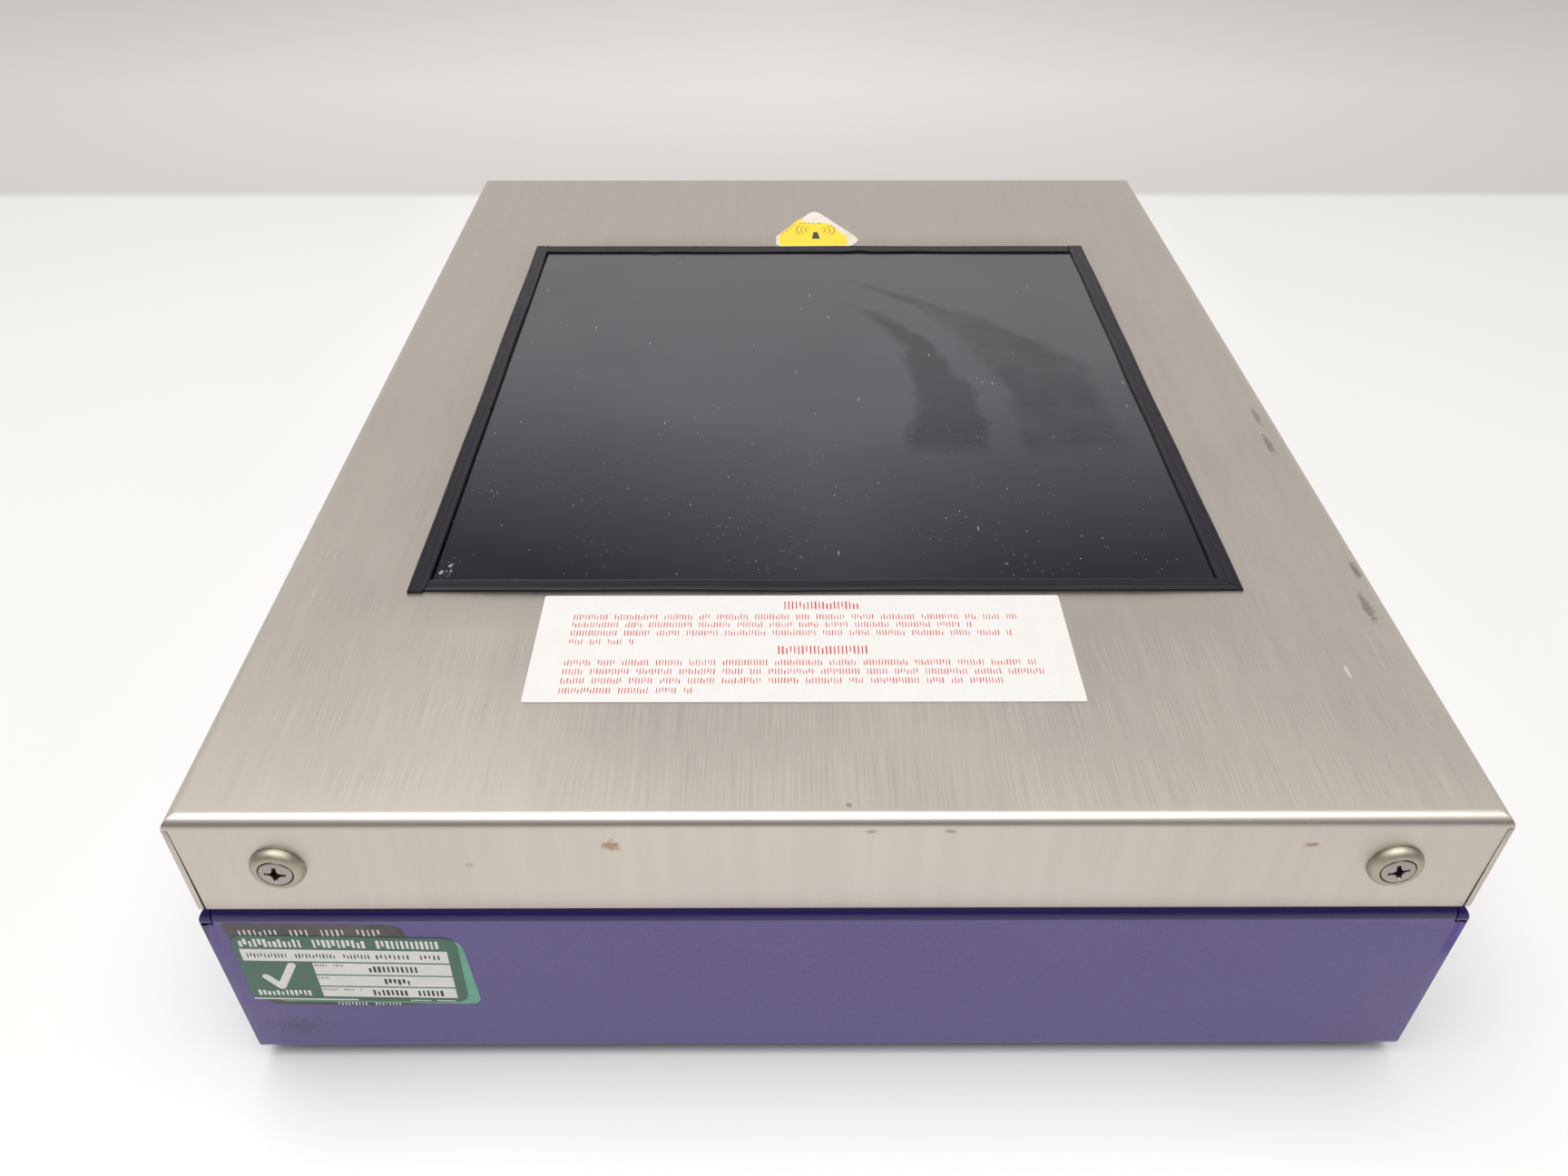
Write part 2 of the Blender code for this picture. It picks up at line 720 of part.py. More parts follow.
def make_ballasts():
    """Three ballasts on the floor, each driving a pair of tubes."""
    foot = FLOOR_TOP + GAP
    lug_x = BALLAST_HALF_WIDTH - 4 * MM
    lug_y = BALLAST_HALF_LENGTH + 9 * MM
    lug = [((-lug_x, -lug_y, foot), (lug_x, lug_y, foot + 1.5 * MM))]
    for index in range(BALLAST_COUNT):
        body = soft_box(
            f"ballast_{index + 1}",
            (-BALLAST_HALF_WIDTH, -BALLAST_HALF_LENGTH, foot),
            (BALLAST_HALF_WIDTH, BALLAST_HALF_LENGTH, foot + BALLAST_HEIGHT),
            1.5 * MM,
            segments=1,
        )
        centre = (FIRST_BALLAST_X + BALLAST_PITCH * index, BALLAST_Y, 0)
        ballast = place(f"ballast_{index + 1}", body, "ballast steel", centre)
        name = f"ballast_lugs_{index + 1}"
        combine(ballast, "UNION", hide_helper(boxes(name, lug), name, centre))


def make_inlet():
    """A mains inlet module: a recess with three blades over a pocket for the fuse drawer."""
    face = PANEL_FACE + GAP + 2.8 * MM
    bezel = soft_box(
        "iec_inlet",
        (-15.5 * MM, PANEL_FACE + GAP - face, -17.5 * MM),
        (15.5 * MM, 0, 17.5 * MM),
        0.8 * MM,
    )
    centre = (INLET_X, face, FITTING_Z)
    inlet = place("iec_inlet", bezel, "black plastic", centre)
    body = [((-13.5 * MM, -26.2 * MM, -15.5 * MM), (13.5 * MM, -1.5 * MM, 15.5 * MM))]
    combine(inlet, "UNION", hide_helper(boxes("inlet_body", body), "inlet_body", centre))

    socket_z = 5 * MM
    socket_depth = 16.3 * MM
    half_x = 12.1 * MM
    half_z = 8.2 * MM
    chamfer = 5 * MM
    outline = [
        (-half_x, -half_z),
        (half_x, -half_z),
        (half_x, half_z - chamfer),
        (half_x - chamfer, half_z),
        (-half_x + chamfer, half_z),
        (-half_x, half_z - chamfer),
    ]
    recess = extruded("socket_recess", outline, 2 * socket_depth, "Y")
    recess.transform(Matrix.Translation((0, 0, socket_z)))
    combine(inlet, "DIFFERENCE", hide_helper(recess, "socket_recess", centre))

    blades = []
    for x, z in ((-7 * MM, -2 * MM), (0, 2 * MM), (7 * MM, -2 * MM)):
        z += socket_z
        low = (x - 1 * MM, -socket_depth - 1 * MM, z - 2 * MM)
        high = (x + 1 * MM, -5.2 * MM, z + 2 * MM)
        blades.append((low, high))
    combine(inlet, "UNION", hide_helper(boxes("blades", blades), "blades", centre))

    drawer_z = -11.5 * MM
    for name, half_x, half_z, depth in (
        ("face_pocket", DRAWER_PLATE_X + GAP, DRAWER_PLATE_Z + GAP, 2.4 * MM),
        ("tray_pocket", DRAWER_TRAY_X + 0.4 * MM, DRAWER_TRAY_Z + 0.4 * MM, DRAWER_DEPTH + 0.8 * MM),
    ):
        pocket = [((-half_x, -depth, drawer_z - half_z), (half_x, 2 * MM, drawer_z + half_z))]
        combine(inlet, "DIFFERENCE", hide_helper(boxes(name, pocket), name, centre))
    make_fuse_drawer((INLET_X, face, FITTING_Z + drawer_z))


def make_fuse_drawer(centre):
    """The drawer slides out to the rear, with its fuse in a channel that is open above."""
    plate = soft_box(
        "fuse_drawer",
        (-DRAWER_PLATE_X, -2 * MM, -DRAWER_PLATE_Z),
        (DRAWER_PLATE_X, 0.4 * MM, DRAWER_PLATE_Z),
        0.3 * MM,
        segments=1,
    )
    drawer = place("fuse_drawer", plate, "black plastic", centre)
    tray = [((-DRAWER_TRAY_X, -DRAWER_DEPTH, -DRAWER_TRAY_Z), (DRAWER_TRAY_X, -1.5 * MM, DRAWER_TRAY_Z))]
    combine(drawer, "UNION", hide_helper(boxes("drawer_tray", tray), "drawer_tray", centre))

    clear = 0.3 * MM
    half = FUSE_RADIUS + clear
    near = -2.6 * MM
    far = near - FUSE_LENGTH - 2 * 0.2 * MM
    channel = [((-half, far, 0.2 * MM - half), (half, near, 4 * MM))]
    combine(drawer, "DIFFERENCE", hide_helper(boxes("fuse_channel", channel), "fuse_channel", centre))
    grip = [((-4 * MM, -0.5 * MM, 2.4 * MM), (4 * MM, 1 * MM, 5 * MM))]
    combine(drawer, "DIFFERENCE", hide_helper(boxes("drawer_grip", grip), "drawer_grip", centre))
    middle = (0, (near + far) / 2, 0.2 * MM)
    fuse = cylinders("fuse", [middle], FUSE_RADIUS, FUSE_LENGTH, "Y", segments=12)
    place("fuse", fuse, "fuse glass", centre)


def make_rocker_switch(name, x, rocker_width, rocker_height):
    """A switch body with a framed pocket, and a rocker that tips about X. At rest it is off."""
    clear = 0.4 * MM
    border = 2.6 * MM
    face = PANEL_FACE + GAP + 2 * MM
    pivot = 2.4 * MM
    half_x = rocker_width / 2
    half_z = rocker_height / 2
    frame = soft_box(
        f"{name}_switch_body",
        (-half_x - border, PANEL_FACE + GAP - face, -half_z - border - clear),
        (half_x + border, 0, half_z + border + clear),
        0.5 * MM,
        segments=1,
    )
    centre = (x, face, FITTING_Z)
    switch = place(f"{name}_switch_body", frame, "black plastic", centre)
    body_x = half_x + 1 * MM
    body_z = half_z + 1.8 * MM
    body = [((-body_x, -24 * MM, -body_z), (body_x, -1 * MM, body_z))]
    combine(switch, "UNION", hide_helper(boxes(f"{name}_body", body), f"{name}_body", centre))
    pocket_x = half_x + clear
    pocket_z = half_z + 2 * clear
    pocket = [((-pocket_x, -6.8 * MM, -pocket_z), (pocket_x, 1 * MM, pocket_z))]
    combine(switch, "DIFFERENCE", hide_helper(boxes(f"{name}_pocket", pocket), f"{name}_pocket", centre))

    crest = 2.2 * MM
    end = crest + half_z * math.tan(ROCKER_TILT)
    outline = [
        (-0.3 * half_z, -3.2 * MM),
        (-half_z, 0.4 * MM),
        (-half_z, end),
        (0, crest),
        (half_z, end),
        (half_z, 0.4 * MM),
        (0.3 * half_z, -3.2 * MM),
    ]
    outline = [(out, up) for up, out in outline]
    rocker = extruded(f"{name}_rocker", outline, rocker_width, "X")
    location = (x, face - pivot, FITTING_Z)
    place(f"{name}_rocker", rocker, "black plastic", location, (-ROCKER_TILT, 0, 0), smooth=False)


def make_labels():
    """The three adhesive labels: two on the cover, one on the front wall."""
    thick = 0.12 * MM
    label_z = COVER_TOP + SKIN_GAP + thick / 2
    warning = extruded("warning_label", rounded_rectangle(*WARNING_SIZE, 0.6 * MM, 1), thick, "Z")
    place("warning_label", warning, "white label", (*WARNING_PLACE, label_z), smooth=False)

    side, tall = TRIANGLE_SIZE
    triangle = extruded("uv_label", [(-side / 2, 0), (side / 2, 0), (0, tall)], thick, "Z")
    place("uv_label", triangle, "yellow label", (*TRIANGLE_PLACE, label_z), smooth=False)

    test = extruded("test_label", rounded_rectangle(*TEST_SIZE, 3 * MM), thick, "Y")
    location = (TEST_X, -BASE_Y - SKIN_GAP - thick / 2, TEST_Z)
    tilt = (0, math.radians(1.7), 0)
    place("test_label", test, "green label", location, tilt, smooth=False)


def smooth_route(points, per_span):
    """Points on a curve that passes through each of the given points (Catmull-Rom)."""
    knots = [Vector(point) for point in points]
    knots = [2 * knots[0] - knots[1]] + knots + [2 * knots[-1] - knots[-2]]
    route = []
    for a, b, c, d in zip(knots, knots[1:], knots[2:], knots[3:]):
        for step in range(per_span):
            t = step / per_span
            bend = 2 * b + (c - a) * t + (2 * a - 5 * b + 4 * c - d) * t * t
            route.append((bend + (3 * b - a - 3 * c + d) * t * t * t) / 2)
    route.append(knots[-2])
    return route


def make_wiring_loom():
    """The sleeved loom from the inlet round the ballasts to the tube holders."""
    radius = 2.2 * MM
    low = FLOOR_TOP + GAP + radius
    bends = [
        (84, 153.8, 26),
        (97, 153.8, 20),
        (110, 152, 14),
        (116, 140, 10),
        (112, 118, low / MM),
        (84, 88, low / MM),
        (20, 66, low / MM),
        (-60, 64, low / MM),
        (-104, 62, low / MM),
        (-126, 40, low / MM),
        (-127, -60, low / MM),
        (-118, -118, low / MM),
        (-80, -127, low / MM),
        (60, -127, low / MM),
    ]
    curve = bpy.data.curves.new("wiring_loom", "CURVE")
    curve.dimensions = "3D"
    curve.bevel_depth = radius
    curve.bevel_resolution = 2
    curve.use_fill_caps = True
    route = smooth_route([Vector(point) * MM for point in bends], 3)
    spline = curve.splines.new("POLY")
    spline.points.add(len(route) - 1)
    for point, place_on_route in zip(spline.points, route):
        point.co = (*place_on_route, 1)
    mesh = to_mesh(hide_helper(curve, "wiring_loom"), "wiring_loom")
    place("wiring_loom", mesh, "loom sleeve")


make_base_tray()
make_top_cover()
make_edge_trims()
make_filter()
make_screws()
make_feet()
make_lamps()
make_gear_deck()
make_ballasts()
make_inlet()
make_rocker_switch("power", POWER_X, 18.2 * MM, 23.4 * MM)
make_rocker_switch("intensity", INTENSITY_X, 11.2 * MM, 15.6 * MM)
make_labels()
make_wiring_loom()
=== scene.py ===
# %% [markdown]
# # A bench-top ultraviolet transilluminator
# The object is a light box. A folded stainless cover with a black filter window is screwed to a
# folded tray with a purple powder coat. Both are bent from flat sheet, so the lesson builds them
# the same way: a flat blank is a grid of points, and each fold is a formula that bends the grid.

# %% Load the frame
import json
import math

import bmesh
import bpy
import numpy as np
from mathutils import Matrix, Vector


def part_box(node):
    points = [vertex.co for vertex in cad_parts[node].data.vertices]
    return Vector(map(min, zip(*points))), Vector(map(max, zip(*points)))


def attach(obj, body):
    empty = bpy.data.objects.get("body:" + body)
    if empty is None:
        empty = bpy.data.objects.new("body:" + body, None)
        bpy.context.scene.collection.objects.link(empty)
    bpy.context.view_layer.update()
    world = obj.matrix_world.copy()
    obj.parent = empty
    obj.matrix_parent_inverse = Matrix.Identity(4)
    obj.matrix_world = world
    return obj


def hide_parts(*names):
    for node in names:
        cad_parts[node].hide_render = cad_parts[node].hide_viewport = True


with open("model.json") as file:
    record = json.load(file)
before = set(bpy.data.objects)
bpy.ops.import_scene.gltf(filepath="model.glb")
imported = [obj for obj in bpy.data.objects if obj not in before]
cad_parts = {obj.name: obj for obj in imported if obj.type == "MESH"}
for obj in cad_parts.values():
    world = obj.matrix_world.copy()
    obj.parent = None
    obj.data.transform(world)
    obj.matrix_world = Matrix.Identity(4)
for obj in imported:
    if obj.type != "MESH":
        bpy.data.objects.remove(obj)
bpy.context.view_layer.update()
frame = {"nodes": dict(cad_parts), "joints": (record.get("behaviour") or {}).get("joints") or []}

MM = 0.001


# %% [markdown]
# ## Places and sizes
# Every place comes from the frame. The sizes that a box can't tell, such as the thickness of the
# sheet and the radius of a bend, are written down once here. A press brake gives each bend its
# own radius: the tray's upper bends are wider than its lower ones.

# %% Read the places that the pieces need
def corners(node):
    """The lowest and highest corners of a solid, as two arrays."""
    low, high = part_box(node)
    return np.array(low), np.array(high)


COVER_LOW, COVER_HIGH = corners("top_cover")
BASE_LOW, BASE_HIGH = corners("base_tray")
GLASS_LOW, GLASS_HIGH = corners("filter_glass")
HALF_X, HALF_Y, TOP = COVER_HIGH
BASE_X, BASE_Y = BASE_HIGH[:2]
SKIRT_Z = COVER_LOW[2]
BASE_TOP = SKIRT_Z - 0.05 * MM
BASE_FLOOR = BASE_LOW[2]
SHEET = 1.2 * MM
CUT_EDGE = 0.12 * MM
COVER_BEND = 2.7 * MM
BASE_BEND = 2.5 * MM
RIM_BEND = 3.6 * MM
BEND_STEPS = 8
FLANGE = 12 * MM
SEAM = 0.3 * MM
print("cover", COVER_HIGH / MM, "base", BASE_HIGH / MM)


# %% [markdown]
# ## From arrays to a mesh
# A grid of points becomes a mesh in three steps. The cells of the grid become quads, points that
# fall together are welded, and the flat place of each corner is kept as its UV. The UV then lies
# in metres on the flat blank, which is where the grain of a brushed sheet runs straight.

# %% Grids, welding and meshes
def grid_cells(rows, columns, keep=None, flip=False):
    """The corner numbers of the cells of a grid, row by row, leaving out cells where keep is False."""
    first = np.arange(rows - 1)[:, None] * columns + np.arange(columns - 1)[None, :]
    cells = np.stack([first, first + 1, first + columns + 1, first + columns], axis=-1)
    if flip:
        cells = cells[..., ::-1]
    return cells[keep] if keep is not None else cells.reshape(-1, 4)


def put(name, data):
    """Adds an object to the scene."""
    thing = bpy.data.objects.new(name, data)
    bpy.context.scene.collection.objects.link(thing)
    return thing


def make_piece(name, points, faces, finish, uv=None, smooth=40, body="root", grime=None):
    """Adds a piece at the origin, with its place in its mesh, and lets it ride on a body.

    Points that no face uses are left out. Points closer than a micrometre are merged, which
    closes a seam, and turns the quads round a pole into triangles. The last argument gives each
    point a share of painted shade, which a finish can read.
    """
    mesh = bpy.data.meshes.new(name)
    used, corners_of = np.unique(faces, return_inverse=True)
    corners_of = corners_of.reshape(-1)
    sides = faces.shape[1]
    mesh.vertices.add(len(used))
    mesh.vertices.foreach_set("co", np.ascontiguousarray(points[used], np.float32).reshape(-1))
    mesh.loops.add(len(corners_of))
    mesh.loops.foreach_set("vertex_index", corners_of.astype(np.int32))
    mesh.polygons.add(len(faces))
    mesh.polygons.foreach_set("loop_start", np.arange(0, len(corners_of), sides, dtype=np.int32))
    if uv is not None:
        layer = mesh.uv_layers.new(name="blank")
        layer.data.foreach_set("uv", np.ascontiguousarray(uv, np.float32).reshape(-1))
    if grime is not None:
        share = np.ascontiguousarray(grime.reshape(-1)[used], np.float32)
        mesh.attributes.new("grime", "FLOAT", "POINT").data.foreach_set("value", share)
    mesh.update(calc_edges=True)
    welded = bmesh.new()
    welded.from_mesh(mesh)
    bmesh.ops.remove_doubles(welded, verts=welded.verts, dist=1e-6)
    welded.to_mesh(mesh)
    welded.free()
    mesh.shade_smooth()
    mesh.set_sharp_from_angle(angle=math.radians(smooth))
    piece = put(name, mesh)
    mesh.materials.append(finish)
    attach(piece, body)
    return piece


def surface(name, x, y, z, finish, flip=False, **options):
    """One grid of points as a piece."""
    cells = grid_cells(*x.shape, flip=flip)
    points = np.stack([x, y, z], axis=-1).reshape(-1, 3)
    return make_piece(name, points, cells, finish, **options)


# %% [markdown]
# ## Finishes
# A finish is a material built from nodes. The helper below keeps each one short: a method adds
# one node and gives back its output, so that a finish reads as a few lines of arithmetic.

# %% A short way to write materials
class Finish:
    """A material in the making, with its Principled shader and one method for each kind of node."""

    def __init__(self, name, colour, roughness, metallic=0.0, **fixed):
        self.material = bpy.data.materials.new(name)
        self.material.use_nodes = True
        self.tree = self.material.node_tree
        self.shader = self.tree.nodes["Principled BSDF"]
        self.plug("Base Color", (*colour, 1.0))
        self.plug("Roughness", roughness)
        self.plug("Metallic", metallic)
        for socket, value in fixed.items():
            self.plug(socket.replace("_", " "), value)
        self.place = self.add("TexCoord", {}).outputs["Object"]

    def give(self, socket, value):
        """Links an output to a socket, or sets the socket to a number or a colour."""
        if isinstance(value, bpy.types.NodeSocket):
            self.tree.links.new(value, socket)
        else:
            socket.default_value = value

    def plug(self, socket, value):
        self.give(self.shader.inputs[socket], value)

    def add(self, kind, inputs, **settings):
        node = self.tree.nodes.new("ShaderNode" + kind)
        for key, value in settings.items():
            setattr(node, key, value)
        for key, value in inputs.items():
            self.give(node.inputs[key], value)
        return node

    def uv(self):
        return self.add("UVMap", {}, uv_map="blank").outputs["UV"]

    def stretch(self, vector, scale, turn=0.0):
        """Places scaled along each axis and turned about Z, which draws a pattern out."""
        node = self.add("Mapping", {"Vector": vector, "Scale": scale, "Rotation": (0, 0, turn)})
        return node.outputs["Vector"]

    def noise(self, vector, scale, detail=2.0, rough=0.5):
        inputs = {"Vector": vector, "Scale": scale, "Detail": detail, "Roughness": rough}
        return self.add("TexNoise", inputs).outputs["Fac"]

    def dots(self, vector, scale):
        """The distance to the nearest of many scattered points."""
        return self.add("TexVoronoi", {"Vector": vector, "Scale": scale}).outputs["Distance"]

    def scale(self, value, from_low, from_high, low=0.0, high=1.0):
        """The value carried from one range to another, and held at the ends."""
        inputs = {"Value": value, "From Min": from_low, "From Max": from_high}
        return self.add("MapRange", {**inputs, "To Min": low, "To Max": high}).outputs["Result"]

    def maths(self, operation, first, second=0.5):
        node = self.tree.nodes.new("ShaderNodeMath")
        node.operation = operation
        self.give(node.inputs[0], first)
        self.give(node.inputs[1], second)
        return node.outputs[0]

    def times(self, first, second):
        return self.maths("MULTIPLY", first, second)

    def less(self, first, second):
        """1 where the first is less than the second, and 0 elsewhere."""
        return self.maths("LESS_THAN", first, second)

    def mix(self, share, first, second):
        """A colour between two, by the share of the second."""
        node = self.tree.nodes.new("ShaderNodeMix")
        node.data_type = "RGBA"
        self.give(node.inputs["Factor"], share)
        self.give(node.inputs[6], (*first, 1.0) if isinstance(first, tuple) else first)
        self.give(node.inputs[7], (*second, 1.0) if isinstance(second, tuple) else second)
        return node.outputs[2]

    def distance(self, centre):
        """How far each point lies from a place."""
        node = self.add("VectorMath", {0: self.place, 1: centre}, operation="DISTANCE")
        return node.outputs["Value"]

    def blot(self, centre, size, ragged=0.5):
        """A soft spot: 1 at a place, falling to 0 at its size in each direction, with a ragged rim."""
        offset = self.add("VectorMath", {0: self.place, 1: centre}, operation="SUBTRACT")
        offset = self.add("VectorMath", {0: offset.outputs[0], 1: size}, operation="DIVIDE")
        length = self.add("VectorMath", {0: offset.outputs[0]}, operation="LENGTH").outputs["Value"]
        rim = self.scale(self.noise(self.place, 900, 3.0, 0.7), 0.25, 0.75, -ragged, ragged)
        return self.scale(self.maths("ADD", length, rim), 0.55, 1.0, 1.0, 0.0)

    def bump(self, height, distance, strength):
        node = self.add("Bump", {"Height": height, "Distance": distance, "Strength": strength})
        self.plug("Normal", node.outputs["Normal"])


# %% [markdown]
# ## Brushed stainless steel
# The cover is stainless sheet with a grain that runs from front to back. On a folded blank the
# grain stays straight, so the pattern reads the blank's own UV and not the object's axes. The
# noise is stretched a hundredfold along the grain, and it moves the roughness and a faint bump.

# %% Stainless finish
SOOT, RUST, SHINE = (0.10, 0.09, 0.08), (0.33, 0.21, 0.12), (0.95, 0.90, 0.82)
# Each mark has its place and its size in millimetres, its strength and its colour.
STEEL_MARKS = [
    ((134.6, -20, 88), (1.0, 6, 3), 0.4, SOOT),
    ((133.4, -36, 88), (1.2, 6, 3), 0.45, SOOT),
    ((136.9, -97, 88), (1.0, 4, 3), 0.5, SOOT),
    ((134.2, -112, 88), (1.4, 7, 3), 0.45, SOOT),
    ((120.8, -135.4, 88), (0.5, 2.6, 3), 0.8, SHINE),
    ((2.1, -175.5, 88), (0.8, 0.8, 3), 0.7, RUST),
    ((9.8, -144, 88), (0.6, 0.6, 3), 0.5, RUST),
    ((-47.6, -180, 80.4), (2.0, 3, 1.9), 0.75, RUST),
    ((6.7, -180, 84.8), (1.3, 3, 0.7), 0.6, RUST),
    ((23.2, -180, 84.8), (1.6, 3, 0.7), 0.65, RUST),
    ((99.3, -180, 80.2), (2.2, 3, 0.8), 0.7, RUST),
    ((-77.9, -180, 74.2), (1.5, 3, 0.8), 0.35, RUST),
]


def brushed_stainless():
    """Streaks and a fine grain along the sheet, with a few scuffs and rust spots."""
    finish = Finish("brushed_stainless", (0.60, 0.54, 0.48), 0.42, 1.0, Anisotropic=0.35)
    blank = finish.uv()
    fine = finish.noise(finish.stretch(blank, (1.0, 0.012, 1.0)), 4200, 3.0, 0.6)
    broad = finish.noise(finish.stretch(blank, (1.0, 0.05, 1.0)), 260, 2.0)
    cloud = finish.noise(blank, 14, 3.0)
    tint = finish.mix(finish.scale(broad, 0.3, 0.7), (0.575, 0.524, 0.472), (0.602, 0.55, 0.497))
    for centre, size, strength, colour in STEEL_MARKS:
        centre, size = [tuple(c * MM for c in place) for place in (centre, size)]
        tint = finish.mix(finish.times(finish.blot(centre, size, 0.6), strength), tint, colour)
    finish.plug("Base Color", tint)
    rough = finish.scale(fine, 0.3, 0.7, 0.40, 0.50)
    finish.plug("Roughness", finish.maths("ADD", rough, finish.scale(cloud, 0.35, 0.65, -0.03, 0.03)))
    finish.bump(fine, 0.02 * MM, 0.35)
    tangent = finish.add("Tangent", {}, direction_type="UV_MAP", uv_map="blank")
    finish.plug("Tangent", tangent.outputs["Tangent"])
    return finish.material


STAINLESS = brushed_stainless()


# %% [markdown]
# ## Purple powder coat
# Powder coat flows as it cures and leaves a fine ripple called orange peel. It is a bump about a
# millimetre across. A finer noise speckles the colour, as the pigment does. Low on the walls the
# colour is painted paler, as painted bounce light from the white bench. Over the upper bend it is
# painted darker, as painted shade, and the coat is made glossier there.

# %% Powder coat finish
def powder_coat():
    """Speckled purple, by the height on the wall: painted bounce light low down, a band of painted
    shade on the upper bend.
    """
    finish = Finish("purple_powder_coat", (0.11, 0.08, 0.26), 0.4, IOR=1.75, Specular_IOR_Level=0.28)
    peel = finish.noise(finish.place, 1100, 2.0, 0.55)
    speck = finish.noise(finish.place, 3600, 1.0)
    cloud = finish.noise(finish.place, 22, 3.0)
    colour = finish.mix(finish.scale(speck, 0.35, 0.65), (0.090, 0.060, 0.230), (0.116, 0.080, 0.275))
    smudge = finish.blot((-0.1289, -BASE_Y, 0.0139), (0.008, 0.006, 0.004), 0.8)
    colour = finish.mix(finish.times(smudge, 0.6), colour, (0.045, 0.035, 0.10))
    height = finish.add("SeparateXYZ", {"Vector": finish.place}).outputs["Z"]
    # Painted bounce light: low on the wall the colour is mixed towards a paler purple, as if lit from
    # the white bench.
    dust_and_bounce_light = finish.times(finish.scale(height, 4 * MM, 34 * MM, 0.16, 0.0), cloud)
    colour = finish.mix(dust_and_bounce_light, colour, (0.30, 0.27, 0.42))
    # Painted shade: over the upper bend the colour is mixed towards a deep, dark violet.
    bend = finish.scale(height, BASE_TOP - 1.06 * RIM_BEND, BASE_TOP - 0.93 * RIM_BEND)
    colour = finish.mix(bend, colour, (0.010, 0.001, 0.080))
    finish.plug("Base Color", colour)
    rough = finish.scale(cloud, 0.3, 0.7, 0.36, 0.44)
    finish.plug("Roughness", finish.maths("SUBTRACT", rough, finish.times(bend, 0.12)))
    finish.bump(peel, 0.06 * MM, 0.6)
    return finish.material


POWDER_COAT = powder_coat()


# %% [markdown]
# ## Folding a sheet
# Both boxes are one sheet: a flat middle with four panels folded from its sides. A panel's
# section is a list of straight runs and bends. Front and side panels share their bends, so that
# a panel's end can follow the other panel's section, and the two meet in a mitre at the corner.

# %% The section of a panel
def section(pieces):
    """Out, up and distance along a section, as arrays.

    Each piece is (length, turn in degrees, stations). The heading turns evenly over a piece, so
    a piece with a turn is an arc with a radius of length / turn. Heading 0 points out.
    """
    out, up, run, heading = [np.zeros(1)], [np.zeros(1)], [np.zeros(1)], 0.0
    for length, turn, stations in pieces:
        share = np.linspace(0, 1, stations + 1)[1:]
        angle = math.radians(turn)
        if turn:
            radius = length / angle
            across = radius * (np.sin(heading + angle * share) - math.sin(heading))
            rise = radius * (math.cos(heading) - np.cos(heading + angle * share))
        else:
            across = length * share * math.cos(heading)
            rise = length * share * math.sin(heading)
        out.append(out[-1][-1] + across)
        up.append(up[-1][-1] + rise)
        run.append(run[-1][-1] + length * share)
        heading += angle
    return np.concatenate(out), np.concatenate(up), np.concatenate(run)


def squeeze(along, knee, half, end):
    """Places on a panel of half-length half, moved so that the stretch beyond the knee ends at end."""
    beyond = np.maximum(np.abs(along) - knee, 0)
    inside = np.minimum(np.abs(along), knee)
    return np.sign(along) * (inside + beyond * (end - knee) / (half - knee))


def both_ways(*places):
    """The places and their mirror images, in order."""
    found = np.unique(np.round(np.array(places), 9))
    return np.unique(np.concatenate([-found, found]))


class Blank:
    """Collects the patches of one folded sheet and welds them into a piece."""

    def __init__(self):
        self.points, self.faces, self.uv, self.count = [], [], [], 0

    def patch(self, x, y, z, u, v, keep=None, flip=False):
        """Adds a grid of points with its flat place (u, v)."""
        rows, columns = x.shape
        cells = grid_cells(rows, columns, keep, flip)
        self.points.append(np.stack([x, y, z], axis=-1).reshape(-1, 3))
        self.uv.append(np.stack([u, v], axis=-1).reshape(-1, 2)[cells])
        self.faces.append(cells + self.count)
        self.count += rows * columns

    def panel(self, side, flat, other, profile, along, knee, keep=None, outward_up=True):
        """A panel folded from the flat's edge. side is front, rear, left or right."""
        out, up, run = profile
        half = other + out.max()
        end = other + np.maximum(out, 0)
        place = along if along.ndim == 2 else np.broadcast_to(along, (len(out), len(along)))
        place = squeeze(place, knee, half, end[:, None])
        reach = np.broadcast_to((flat + out)[:, None], place.shape)
        height = np.broadcast_to(up[:, None], place.shape)
        spread = np.broadcast_to((flat + run)[:, None], place.shape)
        sign = 1 if side in ("rear", "right") else -1
        if side in ("front", "rear"):
            flip = (side == "front") == outward_up
            self.patch(place, sign * reach, height, place, sign * spread, keep, flip)
        else:
            flip = (side == "right") == outward_up
            self.patch(sign * reach, place, height, sign * spread, place, keep, flip)

    def piece(self, name, finish):
        points, faces = np.concatenate(self.points), np.concatenate(self.faces)
        return make_piece(name, points, faces, finish, np.concatenate(self.uv), smooth=46)


def finish_sheet(piece):
    """Gives a sheet its thickness on the inside, and breaks its cut edges."""
    wall = piece.modifiers.new("sheet", "SOLIDIFY")
    wall.thickness = SHEET
    wall.offset = -1
    wall.use_even_offset = True
    rounded = piece.modifiers.new("edges", "BEVEL")
    rounded.width = CUT_EDGE
    rounded.segments = 2
    rounded.limit_method = "ANGLE"
    rounded.angle_limit = math.radians(52)
    rounded.use_clamp_overlap = True


# %% [markdown]
# ## The cover
# The cover's flat has a square cut-out for the window. Below the bends, the front and rear skirts
# stop short of the corner, so that the sheet edge of the side skirts shows from the front with a
# dark seam beside it.

# %% Fold the cover
SUPPORT = 0.4 * MM
CUT_OUT = 102.6 * MM
SEAM_TOP = 0.08 * MM
SEAM_FOOT = 0.5 * MM


def quarter(radius, turn):
    """A bend through a right angle, as a piece of a section."""
    return (radius * math.pi / 2, turn, BEND_STEPS)


def cell_places(along, profile):
    """The row, the height and the distance along of each cell of a panel."""
    level = (profile[1][1:] + profile[1][:-1])[:, None] / 2
    return np.arange(len(level))[:, None], level, (along[1:] + along[:-1])[None, :] / 2


